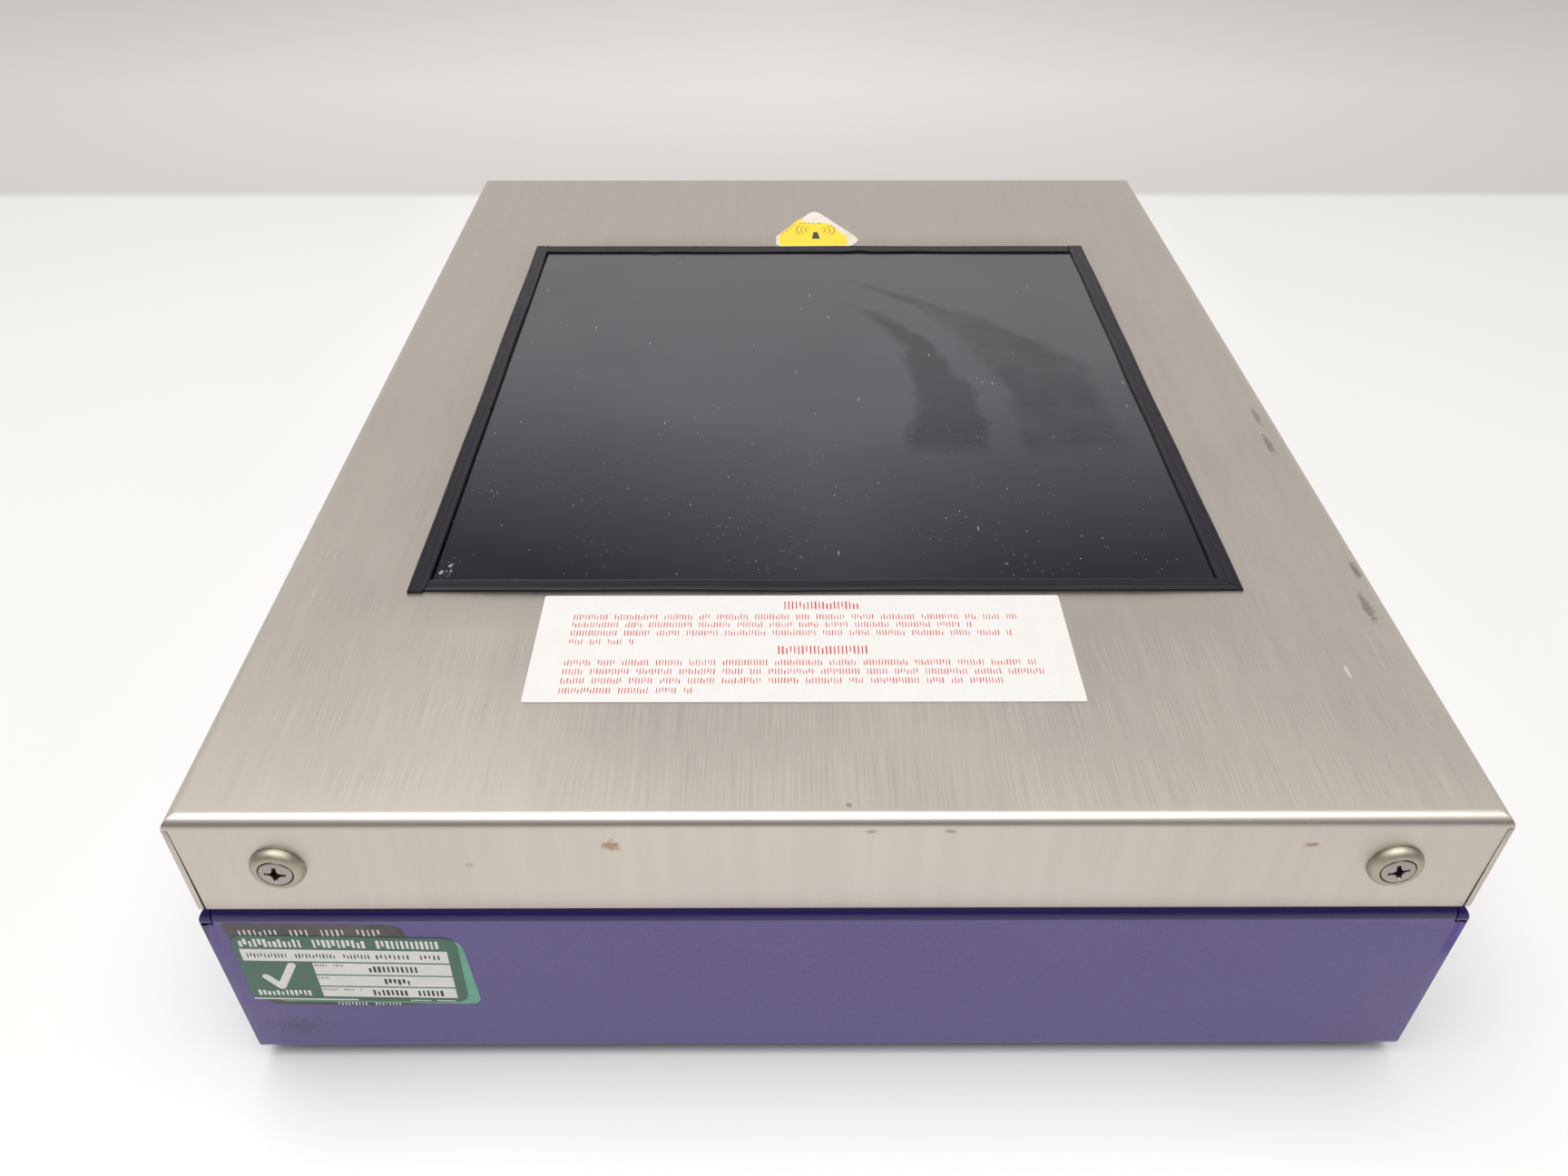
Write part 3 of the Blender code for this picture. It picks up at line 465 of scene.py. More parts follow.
def make_cover():
    """The flat with its cut-out, then the skirts, with the sheet's edge bare at the corners."""
    flat_x = HALF_X - COVER_BEND
    flat_y = HALF_Y - COVER_BEND
    skirt = TOP - SKIRT_Z - COVER_BEND
    out, up, run = section([quarter(COVER_BEND, -90), (SUPPORT, 0, 1), (skirt - SUPPORT, 0, 4)])
    profile = (out, TOP + up, run)
    sheet = Blank()

    across = both_ways(0, 40 * MM, 80 * MM, CUT_OUT, 120 * MM, flat_x - SUPPORT, flat_x)
    along = both_ways(0, 40 * MM, 80 * MM, CUT_OUT, 120 * MM, 150 * MM, flat_y - SUPPORT, flat_y)
    x, y = np.meshgrid(across, along)
    middle_x = (across[1:] + across[:-1]) / 2
    middle_y = (along[1:] + along[:-1]) / 2
    keep = (np.abs(middle_x)[None, :] > CUT_OUT) | (np.abs(middle_y)[:, None] > CUT_OUT)
    sheet.patch(x, y, np.full_like(x, TOP), x, y, keep)

    open_x = HALF_X - SHEET
    wide = both_ways(0, 40 * MM, 80 * MM, CUT_OUT, 120 * MM, flat_x - SUPPORT, open_x, HALF_X)
    row, _, middle = cell_places(wide, profile)
    keep = ~((row >= BEND_STEPS) & (np.abs(middle) > open_x))
    gap = SEAM_TOP + (SEAM_FOOT - SEAM_TOP) * np.clip((TOP + up) / -skirt + TOP / skirt, 0, 1)
    wedge = wide[None, :] - np.sign(wide) * np.isclose(np.abs(wide), open_x)[None, :] * gap[:, None]
    for side in ("front", "rear"):
        sheet.panel(side, flat_y, flat_x, profile, wedge, flat_x - SUPPORT, keep)
    deep = both_ways(0, 40 * MM, 80 * MM, CUT_OUT, 120 * MM, 150 * MM, flat_y - SUPPORT, HALF_Y)
    for side in ("left", "right"):
        sheet.panel(side, flat_x, flat_y, profile, deep, flat_y - SUPPORT)
    cover = sheet.piece("folded_cover", STAINLESS)
    finish_sheet(cover)
    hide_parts("top_cover")
    print("cover:", len(cover.data.polygons), "cells")


make_cover()


# %% [markdown]
# ## The tray
# The tray is folded the other way: its flat is the floor, its walls stand up, and a flange turns
# in at the top. At each corner the front flange stops short and leaves the end of the side bend
# showing as a small tab, over a narrow slot. Past the tab the sheet is notched away where a bend
# turns in, or the two flanges would run through each other. The rear wall has round-ended vent
# slots. The two edges of a slot are two columns of the grid that spread apart by its half-width.

# %% Fold the tray
TAB = 2.6 * MM
SLIT = 0.35 * MM
SLOT_TALL = 0.9 * MM
SLOT_Z = BASE_TOP - RIM_BEND - SUPPORT - SLOT_TALL
NOTCH = 0.3 * MM
FLANGE_CUT = FLANGE + 1 * MM
FITTINGS = {"iec_inlet": 1.5 * MM, "power_switch_body": 1.5 * MM, "intensity_switch_body": 1.6 * MM}
VENTS = -20 * MM - 8 * MM * np.arange(12)
VENT_HALF = 1.25 * MM
VENT_Z = 32 * MM
VENT_REACH = 12 * MM


def vent_width(height):
    """Half the width of a slot at a height: constant between its ends, and a semicircle at each."""
    past = np.maximum(np.abs(height - VENT_Z) - (VENT_REACH - VENT_HALF), 0) / VENT_HALF
    return VENT_HALF * np.sqrt(np.maximum(1 - past**2, 0))


def tray_section(levels):
    """The tray's section, with the wall's rows at the levels given."""
    low, high = BASE_FLOOR + BASE_BEND, BASE_TOP - RIM_BEND
    stops = np.unique(np.round([low, low + SUPPORT, *levels, high - SUPPORT, high], 9))
    wall = [(length, 0, 1) for length in np.diff(stops)]
    pieces = [quarter(BASE_BEND, 90), *wall, quarter(RIM_BEND, 90), (SUPPORT, 0, 1)]
    out, up, run = section([*pieces, (FLANGE - RIM_BEND - SUPPORT, 0, 1)])
    return (out, BASE_FLOOR + up, run), len(stops) - 1


def notched(row, profile, wall_rows):
    """The rows of the upper bend that have turned in past the notch, and all of the flange."""
    return (row >= BEND_STEPS + wall_rows) & (profile[0][1:] < NOTCH)[:, None]


def corner_mask(along, profile, wall_rows):
    """The cells of a front or rear panel that are sheet and not slit, slot or notch."""
    row, level, across = cell_places(along, profile)
    corner = np.abs(across) > BASE_X - TAB - SLIT
    above = (row >= BEND_STEPS) & (level > SLOT_Z)
    slot = above & (row < BEND_STEPS + wall_rows) & (level < SLOT_Z + SLOT_TALL)
    slit = above & (np.abs(across) < BASE_X - TAB)
    return ~(corner & (slot | slit | notched(row, profile, wall_rows)))


def make_tray():
    """The floor, then the front wall, the side walls, and the rear wall with its openings."""
    flat_x, flat_y = BASE_X - BASE_BEND, BASE_Y - BASE_BEND
    sheet = Blank()
    across = both_ways(0, 60 * MM, flat_x - SUPPORT, flat_x)
    along = both_ways(0, 60 * MM, 120 * MM, flat_y - SUPPORT, flat_y)
    x, y = np.meshgrid(across, along)
    sheet.patch(x, y, np.full_like(x, BASE_FLOOR), x, y, flip=True)

    ends = (BASE_X - TAB - SLIT, BASE_X - TAB, BASE_X)
    profile, rows = tray_section([20 * MM, 40 * MM, SLOT_Z])
    wide = both_ways(0, 45 * MM, 90 * MM, *ends)
    keep = corner_mask(wide, profile, rows)
    sheet.panel("front", flat_y, flat_x, profile, wide, BASE_X - TAB, keep, outward_up=False)

    butt = BASE_Y - SHEET - SEAM
    deep = both_ways(0, 60 * MM, 120 * MM, BASE_Y - FLANGE_CUT, BASE_Y - TAB, butt, BASE_Y)
    row, level, middle = cell_places(deep, profile)
    seam = (row >= BEND_STEPS) & (level < SLOT_Z) & (np.abs(middle) > butt)
    notch = notched(row, profile, rows) & (np.abs(middle) > BASE_Y - TAB)
    short = (row >= 2 * BEND_STEPS + rows) & (np.abs(middle) > BASE_Y - FLANGE_CUT)
    keep = ~(seam | notch | short)
    for side in ("left", "right"):
        sheet.panel(side, flat_x, flat_y, profile, deep, BASE_Y - TAB, keep, outward_up=False)

    holes = []
    for node, rim in FITTINGS.items():
        low, high = corners(node)
        holes.append((low[0] + rim, high[0] - rim, low[2] + rim, high[2] - rim))
    curve = VENT_HALF * (1 - np.cos(np.linspace(0, math.pi / 2, 7)))
    tips = np.concatenate([VENT_Z - VENT_REACH + curve, VENT_Z + VENT_REACH - curve])
    profile, rows = tray_section([*tips, *(edge for hole in holes for edge in hole[2:]), SLOT_Z])
    sides = [edge for hole in holes for edge in hole[:2]]
    middles = np.sort(np.concatenate([both_ways(0, *ends), sides, VENTS, VENTS]))
    shift = np.zeros(len(middles))
    is_vent = np.isin(middles, VENTS)
    shift[is_vent] = np.tile([-1, 1], len(VENTS))
    on_wall = (profile[1] > BASE_FLOOR + BASE_BEND) & (profile[1] < BASE_TOP - RIM_BEND)
    spread = np.where(on_wall, vent_width(profile[1]), 0)
    along = middles[None, :] + shift[None, :] * spread[:, None]
    keep = corner_mask(middles, profile, rows)
    row, level, across = cell_places(middles, profile)
    wall = (row >= BEND_STEPS) & (row < BEND_STEPS + rows)
    for low_x, high_x, low_z, high_z in holes:
        keep &= ~(wall & (across > low_x) & (across < high_x) & (level > low_z) & (level < high_z))
    keep &= ~(np.diff(middles) < 1e-7)[None, :]
    sheet.panel("rear", flat_y, flat_x, profile, along, BASE_X - TAB, keep, outward_up=False)
    tray = sheet.piece("folded_tray", POWDER_COAT)
    finish_sheet(tray)
    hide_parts("base_tray")
    print("tray:", len(tray.data.polygons), "cells")


make_tray()


# %% [markdown]
# ## Edging round the window
# Four strips of black extruded edging cover the raw edge of the cut-out. A strip is one profile
# carried along a straight line. They were cut by hand, so each strip's ends differ: most are
# mitred, but at the front left one strip lies over the other, with its inner corner rounded off.

# %% Edging finish
def edging_finish():
    finish = Finish("black_edging", (0.012, 0.011, 0.014), 0.32, Specular_IOR_Level=0.26)
    cloud = finish.noise(finish.place, 90, 3.0)
    finish.plug("Base Color", finish.mix(cloud, (0.0045, 0.0035, 0.0065), (0.012, 0.0095, 0.016)))
    scuff = finish.noise(finish.stretch(finish.place, (1.0, 0.25, 1.0)), 900, 3.0, 0.7)
    finish.plug("Roughness", finish.scale(scuff, 0.35, 0.7, 0.30, 0.46))
    finish.bump(finish.noise(finish.place, 2600, 2.0), 0.02 * MM, 0.35)
    return finish.material


EDGING = edging_finish()

# %% Carry the profile along each side
TRIM_TALL = corners("edge_trim_right")[1][2]
TRIM_FOOT = TOP + 0.02 * MM
STRIPS = {
    "right": (99.8 * MM, 105.3 * MM),
    "back": (101.4 * MM, 106.6 * MM),
    "left": (101.5 * MM, 106.2 * MM),
    "front": (100.9 * MM, 105.2 * MM),
}


def ridge(across, centre, width):
    """A smooth bump of height 1 on the top of the strip."""
    return np.exp(-(((across - centre * MM) / (width * MM)) ** 2))


def edging_profile(wide):
    """Across and up, once round the strip: rounded top edges, and three low ridges along the top."""
    turn = np.linspace(0, math.pi / 2, 5)
    radius = 0.3 * MM
    top = TRIM_TALL - 0.1 * MM
    across = np.linspace(radius, wide - radius, 46)
    last = wide / MM - 0.65
    crest = 0.10 * ridge(across, 0.5, 0.26) + 0.04 * ridge(across, 0.58 * last, 0.3)
    crest = top + MM * (crest + 0.09 * ridge(across, last, 0.28))
    start, stop = crest[0] - radius, crest[-1] - radius
    x = [np.array([0, 0]), radius * (1 - np.cos(turn[:-1])), across]
    z = [np.array([TRIM_FOOT, (TRIM_FOOT + start) / 2]), start + radius * np.sin(turn[:-1]), crest]
    x += [wide - radius * (1 - np.sin(turn[1:])), np.array([wide, wide / 2, 0])]
    z += [stop + radius * np.cos(turn[1:]), np.full(3, TRIM_FOOT)]
    return np.concatenate(x), np.concatenate(z)


def wobble(along, size, seed):
    """Three slow waves, for an edge that was laid by hand."""
    waves = [math.sin(seed * k) * np.sin(along * (25 + 31 * k) + seed * (k + 2)) for k in (1, 2, 3)]
    return size * sum(waves)


def dent(along, centre, width):
    """A smooth nick of depth 1 in an edge."""
    return np.exp(-(((along - centre * MM) / (width * MM)) ** 2))


def edging_strip(side, turn, start, stop, inner=None, seed=1.0):
    """A strip along one side of the window.

    In its own axes the strip runs along Y, with X pointing away from the window. start and stop
    give the ends' places for each distance across, and inner says how far the window edge of the
    strip moves out along it. turn then turns it into its place.
    """
    near, far = STRIPS[side]
    wide = far - near
    across, up = edging_profile(wide)
    close = np.linspace(0, 0.05, 30)
    share = np.unique(np.concatenate([np.linspace(0, 1, 181), 1 - close, close]))
    first, last = start(across)[None, :], stop(across)[None, :]
    along = first + (last - first) * share[:, None]
    shift = wobble(along, 0.09 * MM, seed + 3) + (0 if inner is None else inner(along))
    width = (wide - shift + wobble(along, 0.08 * MM, seed)) / wide
    x = near + shift + across[None, :] * width
    z = up[None, :] + wobble(along, 0.03 * MM, seed + 1) * (up > TOP + 0.2 * MM)
    angle = math.radians(turn)
    world_x = x * math.cos(angle) - along * math.sin(angle)
    world_y = x * math.sin(angle) + along * math.cos(angle)
    piece = surface(f"edging_{side}", world_x, world_y, z, EDGING, smooth=32)
    close_ends(piece)
    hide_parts(f"edge_trim_{side}")
    return len(piece.data.polygons)


def close_ends(piece):
    """Fills the open loops of a tube and turns all of its faces outwards."""
    mesh = bmesh.new()
    mesh.from_mesh(piece.data)
    bmesh.ops.holes_fill(mesh, edges=mesh.edges, sides=0)
    bmesh.ops.recalc_face_normals(mesh, faces=mesh.faces)
    mesh.to_mesh(piece.data)
    mesh.free()
    piece.data.shade_smooth()
    piece.data.set_sharp_from_angle(angle=math.radians(32))


CORNER_CUT = 4.4 * MM


def rounded_off(beyond):
    """How far the rounded corner of the left strip has drawn in, at a distance past its start."""
    past = np.clip(beyond / CORNER_CUT, 0, 1)
    return 1.3 * MM * (1 - np.sqrt(1 - past**2))


def mitre(sign, side, other):
    """An end cut on the slant, from the meeting of the inner edges to that of the outer edges."""
    (near, far), (start, stop) = STRIPS[side], STRIPS[other]
    return lambda across: sign * (start - 0.05 * MM + across * (stop - start) / (far - near))


def square(place):
    """An end cut straight across."""
    return lambda across: np.full_like(across, place)


# Where the window edges of the hand-cut strips stray from a straight line.
def left_inner(along):
    return rounded_off(along - STRIPS["front"][0] - 0.6 * MM) + 0.35 * MM * dent(along, 16, 0.6)


def front_inner(along):
    return 0.45 * MM * dent(along, 79.5, 1.0) + 0.2 * MM * dent(along, 81.5, 2.5)


def back_inner(along):
    out, nick, sag = dent(along, 60.5, 2.2), dent(along, -18.5, 3.2), dent(along, -40, 9)
    return -0.6 * MM * out + 0.9 * MM * nick + 0.5 * MM * sag


def front_start(across):
    """The end of the front strip, which follows the rounded corner of the left one."""
    return -(STRIPS["left"][0] - 0.1 * MM) - rounded_off(across - 0.4 * MM)


right, left = STRIPS["right"], STRIPS["left"]
front, back = STRIPS["front"], STRIPS["back"]
stops = square(back[1] + 0.1 * MM), square(left[0] + 0.1 * MM), square(front[1] + 0.5 * MM)
cells = edging_strip("right", 0, mitre(-1, "right", "front"), stops[0], seed=1.7)
cells += edging_strip("back", 90, square(-right[0] + 0.5 * MM), stops[1], back_inner, seed=2.9)
cells += edging_strip("left", 180, square(-back[1]), stops[2], left_inner, seed=4.3)
cells += edging_strip("front", 270, front_start, mitre(1, "front", "right"), front_inner, seed=0.6)
print("edging:", cells, "cells")


# %% [markdown]
# ## Turned pieces: washers, screws and feet
# A finishing washer and a rubber foot are profiles turned about an axis. A screw head is a height
# over a disc: a shallow dome, less a cross recess. The recess is a smooth step on the distance to
# a cross, so its walls and its tapering arms come from one formula.

# %% Plated and rubber finishes
def nickel_finish():
    finish = Finish("nickel_plate", (0.50, 0.47, 0.38), 0.42, 1.0)
    cloud = finish.noise(finish.place, 420, 3.0, 0.6)
    finish.plug("Base Color", finish.mix(cloud, (0.40, 0.375, 0.29), (0.52, 0.49, 0.40)))
    finish.plug("Roughness", finish.scale(cloud, 0.3, 0.7, 0.44, 0.58))
    finish.bump(finish.noise(finish.place, 3000, 2.0), 0.015 * MM, 0.5)
    return finish.material


def screw_finish():
    finish = Finish("screw_zinc", (0.5, 0.48, 0.46), 0.3, 1.0)
    cloud = finish.noise(finish.place, 900, 3.0, 0.6)
    grime = finish.add("Attribute", {}, attribute_name="grime").outputs["Fac"]
    tone = finish.mix(cloud, (0.30, 0.27, 0.24), (0.44, 0.40, 0.365))
    # Painted shade: the colour goes nearly black in the cross recess and in the groove round the rim.
    finish.plug("Base Color", finish.mix(grime, tone, (0.035, 0.028, 0.024)))
    rough = finish.scale(cloud, 0.3, 0.7, 0.24, 0.38)
    finish.plug("Roughness", finish.maths("ADD", rough, finish.times(grime, 0.3)))
    return finish.material


def rubber_finish():
    finish = Finish("foot_rubber", (0.02, 0.02, 0.02), 0.75)
    grain = finish.noise(finish.place, 1800, 3.0)
    dust_and_bounce_light = finish.noise(finish.place, 160, 3.0)
    dusty = finish.scale(dust_and_bounce_light, 0.5, 0.8)
    finish.plug("Base Color", finish.mix(dusty, (0.014, 0.014, 0.014), (0.07, 0.066, 0.06)))
    finish.bump(grain, 0.05 * MM, 0.4)
    return finish.material


NICKEL = nickel_finish()
SCREW_METAL = screw_finish()
RUBBER = rubber_finish()


# %% Washers and screws
def washer_profile():
    """Radius and height of a finishing washer: a quarter of an ellipse, turned in to a cone."""
    turn = np.linspace(0, math.pi / 2, 14)
    radius = 4.15 + 1.75 * np.cos(turn)
    height = 0.06 + 2.05 * np.sin(turn)
    inner = [(3.95, 2.08), (3.8, 1.96), (3.72, 1.7), (3.3, 1.0), (3.3, 0.06), (5.5, 0.06), (5.9, 0.06)]
    radius = np.concatenate([radius, [r for r, h in inner]])
    height = np.concatenate([height, [h for r, h in inner]])
    return radius * MM, height * MM


def turned(radius, height, steps):
    """A profile turned about an axis: across it, along it, and across it the other way."""
    angle = np.linspace(0, 2 * math.pi, steps + 1)[None, :]
    across = radius[:, None] * np.cos(angle)
    return across, np.broadcast_to(height[:, None], across.shape), radius[:, None] * np.sin(angle)


def recess_depth(across, up, spin):
    """Depth of the cross recess, in millimetres, at a place on the head."""
    angle = math.radians(spin)
    a = np.abs(across * math.cos(angle) + up * math.sin(angle))
    b = np.abs(up * math.cos(angle) - across * math.sin(angle))
    reach, side = np.maximum(a, b), np.minimum(a, b)
    arm = np.clip((0.42 + 0.55 * np.exp(-((reach / 0.9) ** 2)) - side) / 0.13, 0, 1)
    end = np.clip((2.3 - reach) / 0.3, 0, 1)
    wall = arm * arm * (3 - 2 * arm) * end * end * (3 - 2 * end)
    return wall * (1.5 - 0.35 * reach)


def screw_head(x, y, z, side, spin):
    """A dome over a disc, less the recess, with its rim rolled down into the washer.

    The last array is the share of painted shade: full in the recess and in the groove round the rim.
    """
    rim, rim_drop = [3.42, 3.52, 3.58, 3.6, 3.5], [0.03, 0.1, 0.22, 0.6, 1.2]
    radius = np.concatenate([np.linspace(0, 2.75, 60), np.linspace(2.8, 3.3, 6), rim])
    crown = 2.42 - 0.026 * radius**2
    drop = np.zeros_like(radius)
    drop[-len(rim) :] = rim_drop
    angle = np.linspace(0, 2 * math.pi, 161)
    across = radius[:, None] * np.cos(angle)[None, :]
    up = radius[:, None] * np.sin(angle)[None, :]
    recess = recess_depth(across, up, spin) * (radius < 3.0)[:, None]
    height = (crown - drop)[:, None] - recess
    # The share of painted shade: full in the recess and in the groove round the rim.
    grime = np.clip(recess / 0.7, 0, 1) + np.clip((drop - 0.12) / 0.3, 0, 1)[:, None]
    return x + across * MM, y + side * height * MM, z + up * MM, np.clip(grime, 0, 1)


# How far each screw's cross is turned, in degrees.
SPINS = {"front_left": -7, "front_right": 17, "rear_left": 31, "rear_right": -22}


def make_fasteners():
    """A washer with its screw at each corner of the front and the rear skirt."""
    across, out, up = turned(*washer_profile(), 64)
    for corner, spin in SPINS.items():
        low, high = corners(f"cover_screw_{corner}")
        x, z = (low[0] + high[0]) / 2, (low[2] + high[2]) / 2
        side = -1 if corner.startswith("front") else 1
        y = side * HALF_Y
        grid = x + across, y + side * out, z + up
        washer = surface(f"washer_{corner}", *grid, NICKEL, flip=side > 0, smooth=50)
        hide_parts(f"screw_cup_{corner}")
        *grid, grime = screw_head(x, y, z, side, spin)
        head = surface(f"screw_{corner}", *grid, SCREW_METAL, flip=side > 0, smooth=50, grime=grime)
        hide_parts(f"cover_screw_{corner}")


make_fasteners()


# %% Feet
def make_feet():
    """A foot tapers to a rounded rim, with a shallow hollow in its sole."""
    for corner in SPINS:
        low, high = corners(f"foot_{corner}")
        x, y = (low[:2] + high[:2]) / 2
        reach = (high[0] - low[0]) / 2 / MM
        top = (high[2] - low[2]) / MM
        turn = np.linspace(0, math.pi / 2, 7)
        rim = reach - 0.9 + 0.9 * np.cos(turn)
        radius = np.concatenate([[0, reach * 0.98, reach], rim, [5.0, 4.4, 0]])
        height = np.concatenate([[top, top, top - 0.2], 0.9 - 0.9 * np.sin(turn), [0.0, 0.6, 0.7]])
        across, up, deep = turned(radius * MM, height * MM, 48)
        grid = x + across, y + deep, up
        foot = surface(f"rubber_foot_{corner}", *grid, RUBBER, flip=True, smooth=50)
        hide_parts(f"foot_{corner}")


make_feet()


# %% [markdown]
# ## Labels
# A label is a thin plate cut to an outline, and its print is more plates a few hundredths of a
# millimetre thick. One function makes any number of such plates from their outlines. The print
# stands for lines of text without spelling anything: groups of upright ticks.

# %% Plates from outlines
CORNER_SIGNS = np.array([[1, 1], [-1, 1], [-1, -1], [1, -1]])


def plates(name, outlines, origin, axes, low, high, finish, body="root"):
    """Flat plates, all in one piece.

    Each outline is a ring of points in millimetres in the plane of the first two axes, counted
    anticlockwise. The rows of a plate's grid are its middle, its ring low down, its ring high up
    and its middle again, so welding closes it with a fan of triangles at each end.
    """
    outlines = np.asarray(outlines, float)
    count, sides = outlines.shape[:2]
    ring = np.concatenate([outlines, outlines[:, :1]], axis=1)
    middle = np.broadcast_to(outlines.mean(axis=1, keepdims=True), ring.shape)
    flat = np.stack([middle, ring, ring, middle], axis=1) * MM
    depth = np.broadcast_to((np.array([low, low, high, high]) * MM)[None, :, None], flat.shape[:3])
    axes = np.asarray(axes, float)
    points = np.asarray(origin) + flat[..., :1] * axes[0] + flat[..., 1:] * axes[1]
    points = points + depth[..., None] * axes[2]
    cells = grid_cells(4, sides + 1)
    cells = cells[None] + (4 * (sides + 1) * np.arange(count))[:, None, None]
    return make_piece(name, points.reshape(-1, 3), cells.reshape(-1, 4), finish, smooth=30, body=body)


def bars(marks):
    """Rectangles from rows of: across, up, half width, half height, turn in degrees."""
    marks = np.asarray(marks, float)
    angle = np.radians(marks[:, 4])[:, None]
    a, b = CORNER_SIGNS[:, 0] * marks[:, 2:3], CORNER_SIGNS[:, 1] * marks[:, 3:4]
    x = marks[:, :1] + a * np.cos(angle) - b * np.sin(angle)
    y = marks[:, 1:2] + a * np.sin(angle) + b * np.cos(angle)
    return np.stack([x, y], axis=-1)


def ring_of(half_a, half_b, radius, steps=6):
    """A rounded rectangle: each corner is a quarter of a circle."""
    turn = np.radians(np.linspace(0, 90, steps)[None, :] + 90 * np.arange(4)[:, None])
    a = CORNER_SIGNS[:, :1] * (half_a - radius) + radius * np.cos(turn)
    b = CORNER_SIGNS[:, 1:] * (half_b - radius) + radius * np.sin(turn)
    return np.stack([a, b], axis=-1).reshape(-1, 2)


def rounded(corners_of, radius, steps=6):
    """A polygon with each corner replaced by the curve (1-t)^2 P + 2t(1-t) C + t^2 N."""
    c = np.asarray(corners_of, float)
    radius = np.broadcast_to(radius, len(c))[:, None]
    before, after = np.roll(c, 1, axis=0) - c, np.roll(c, -1, axis=0) - c
    p = c + before / np.linalg.norm(before, axis=1, keepdims=True) * radius
    n = c + after / np.linalg.norm(after, axis=1, keepdims=True) * radius
    t = np.linspace(0, 1, steps)[None, :, None]
    curve = (1 - t) ** 2 * p[:, None] + 2 * t * (1 - t) * c[:, None] + t**2 * n[:, None]
    return curve.reshape(1, -1, 2)


def ticks(up, left, right, tall, pitch, half, seed, words=(4, 17)):
    """A line of upright ticks in groups of uneven length, two heights mixed."""
    rng = np.random.default_rng(seed)
    index = np.arange(int((right - left) / pitch))
    ends = np.cumsum(rng.integers(*words, len(index)) + 2)
    index = index[~(np.isin(index, ends) | np.isin(index, ends - 1))]
    height = tall * rng.choice([1.0, 0.94, 0.72], len(index))
    rise = rng.choice([-0.5, 0.5], len(index)) * (tall - height)
    wide = half * rng.uniform(0.8, 1.25, len(index))
    across = left + pitch * index
    return np.stack([across, up + rise, wide, height / 2, 0 * across], axis=1)


# %% Paper and ink finishes
def paper(name, colour, other, roughness=0.45):
    """Vinyl or paper: a slow cloud of tone, a finer fleck, and a faint unevenness."""
    finish = Finish(name, colour, roughness)
    cloud = finish.noise(finish.place, 120, 4.0, 0.6)
    fleck = finish.noise(finish.place, 2500, 2.0)
    tone = finish.mix(finish.scale(cloud, 0.3, 0.7), colour, other)
    tone = finish.mix(finish.scale(fleck, 0.62, 0.75, 0.0, 0.35), tone, tuple(0.6 * c for c in other))
    finish.plug("Base Color", tone)
    finish.plug("Roughness", finish.scale(cloud, 0.3, 0.7, roughness - 0.05, roughness + 0.07))
    finish.bump(finish.noise(finish.place, 700, 2.0), 0.02 * MM, 0.4)
    return finish.material


WHITE_LABEL = paper("white_label", (0.625, 0.607, 0.588), (0.60, 0.582, 0.563))
GREEN_LABEL = paper("green_label", (0.035, 0.115, 0.075), (0.05, 0.145, 0.098), 0.35)
PALE_GREEN = paper("pale_green_label", (0.10, 0.36, 0.24), (0.16, 0.44, 0.31), 0.35)
WORN_LABEL = paper("worn_dark_label", (0.045, 0.038, 0.042), (0.13, 0.11, 0.11), 0.5)
YELLOW_LABEL = paper("yellow_label", (0.70, 0.52, 0.008), (0.76, 0.58, 0.02), 0.4)
OCHRE_INK = paper("ochre_ink", (0.30, 0.21, 0.01), (0.42, 0.30, 0.02), 0.45)
WORN_PAPER = paper("worn_paper", (0.70, 0.65, 0.58), (0.54, 0.48, 0.41), 0.7)
RED_INK = paper("red_ink", (0.42, 0.035, 0.04), (0.50, 0.07, 0.07), 0.5)
WHITE_INK = paper("white_ink", (0.84, 0.83, 0.80), (0.76, 0.76, 0.73), 0.4)
DARK_INK = paper("dark_ink", (0.02, 0.02, 0.02), (0.035, 0.035, 0.035), 0.5)


def dress(finish, *names):
    """Gives solids of the frame a finish."""
    for name in names:
        mesh = frame["nodes"][name].data
        mesh.materials.clear()
        mesh.materials.append(finish)


# %% The caution label in front of the window
UPWARD = np.eye(3)
OUTWARD = np.array([[1, 0, 0], [0, 0, 1], [0, -1, 0]])


# It was stuck on a millimetre further back than its solid lies.
CAUTION_SHIFT = np.array([0, 1, 0]) * MM


def make_caution_label():
    """A card with two headings and eight lines. A row's ends are shares of the card's width."""
    low, high = corners("warning_label")
    low, high = low + CAUTION_SHIFT, high + CAUTION_SHIFT
    wide, tall = (high[0] - low[0]) / MM, (high[1] - low[1]) / MM
    thick = (high[2] - low[2]) / MM
    outline = ring_of(wide / 2, tall / 2, 0.6) + np.array([wide / 2, tall / 2])
    card = plates("caution_label", outline[None], low, UPWARD, 0, thick, WHITE_LABEL)
    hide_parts("warning_label")
    heading, line = (3.0, 0.95, 0.17), (1.95, 0.72, 0.115)
    rows = [
        (3.84, 0.467, 0.616, *heading),
        (8.3, 0.065, 0.918, *line),
        (11.2, 0.065, 0.827, *line),
        (14.3, 0.065, 0.902, *line),
        (17.5, 0.065, 0.191, *line),
        (20.5, 0.455, 0.628, *heading),
        (24.9, 0.064, 0.934, *line),
        (28.0, 0.064, 0.943, *line),
        (31.1, 0.064, 0.875, *line),
        (34.4, 0.064, 0.306, *line),
    ]
    marks = []
    for row, (down, left, right, tall, pitch, half) in enumerate(rows):
        words = (40, 50) if tall > 2 else (4, 17)
        marks.append(ticks(-down, left * wide, right * wide, tall, pitch, half, 30 + row, words))
    marks = np.concatenate(marks)
    origin = (low[0], high[1], high[2])
    piece = plates("caution_print", bars(marks), origin, UPWARD, -0.02, 0.012, RED_INK)
    print("caution label:", len(marks), "ticks")


make_caution_label()


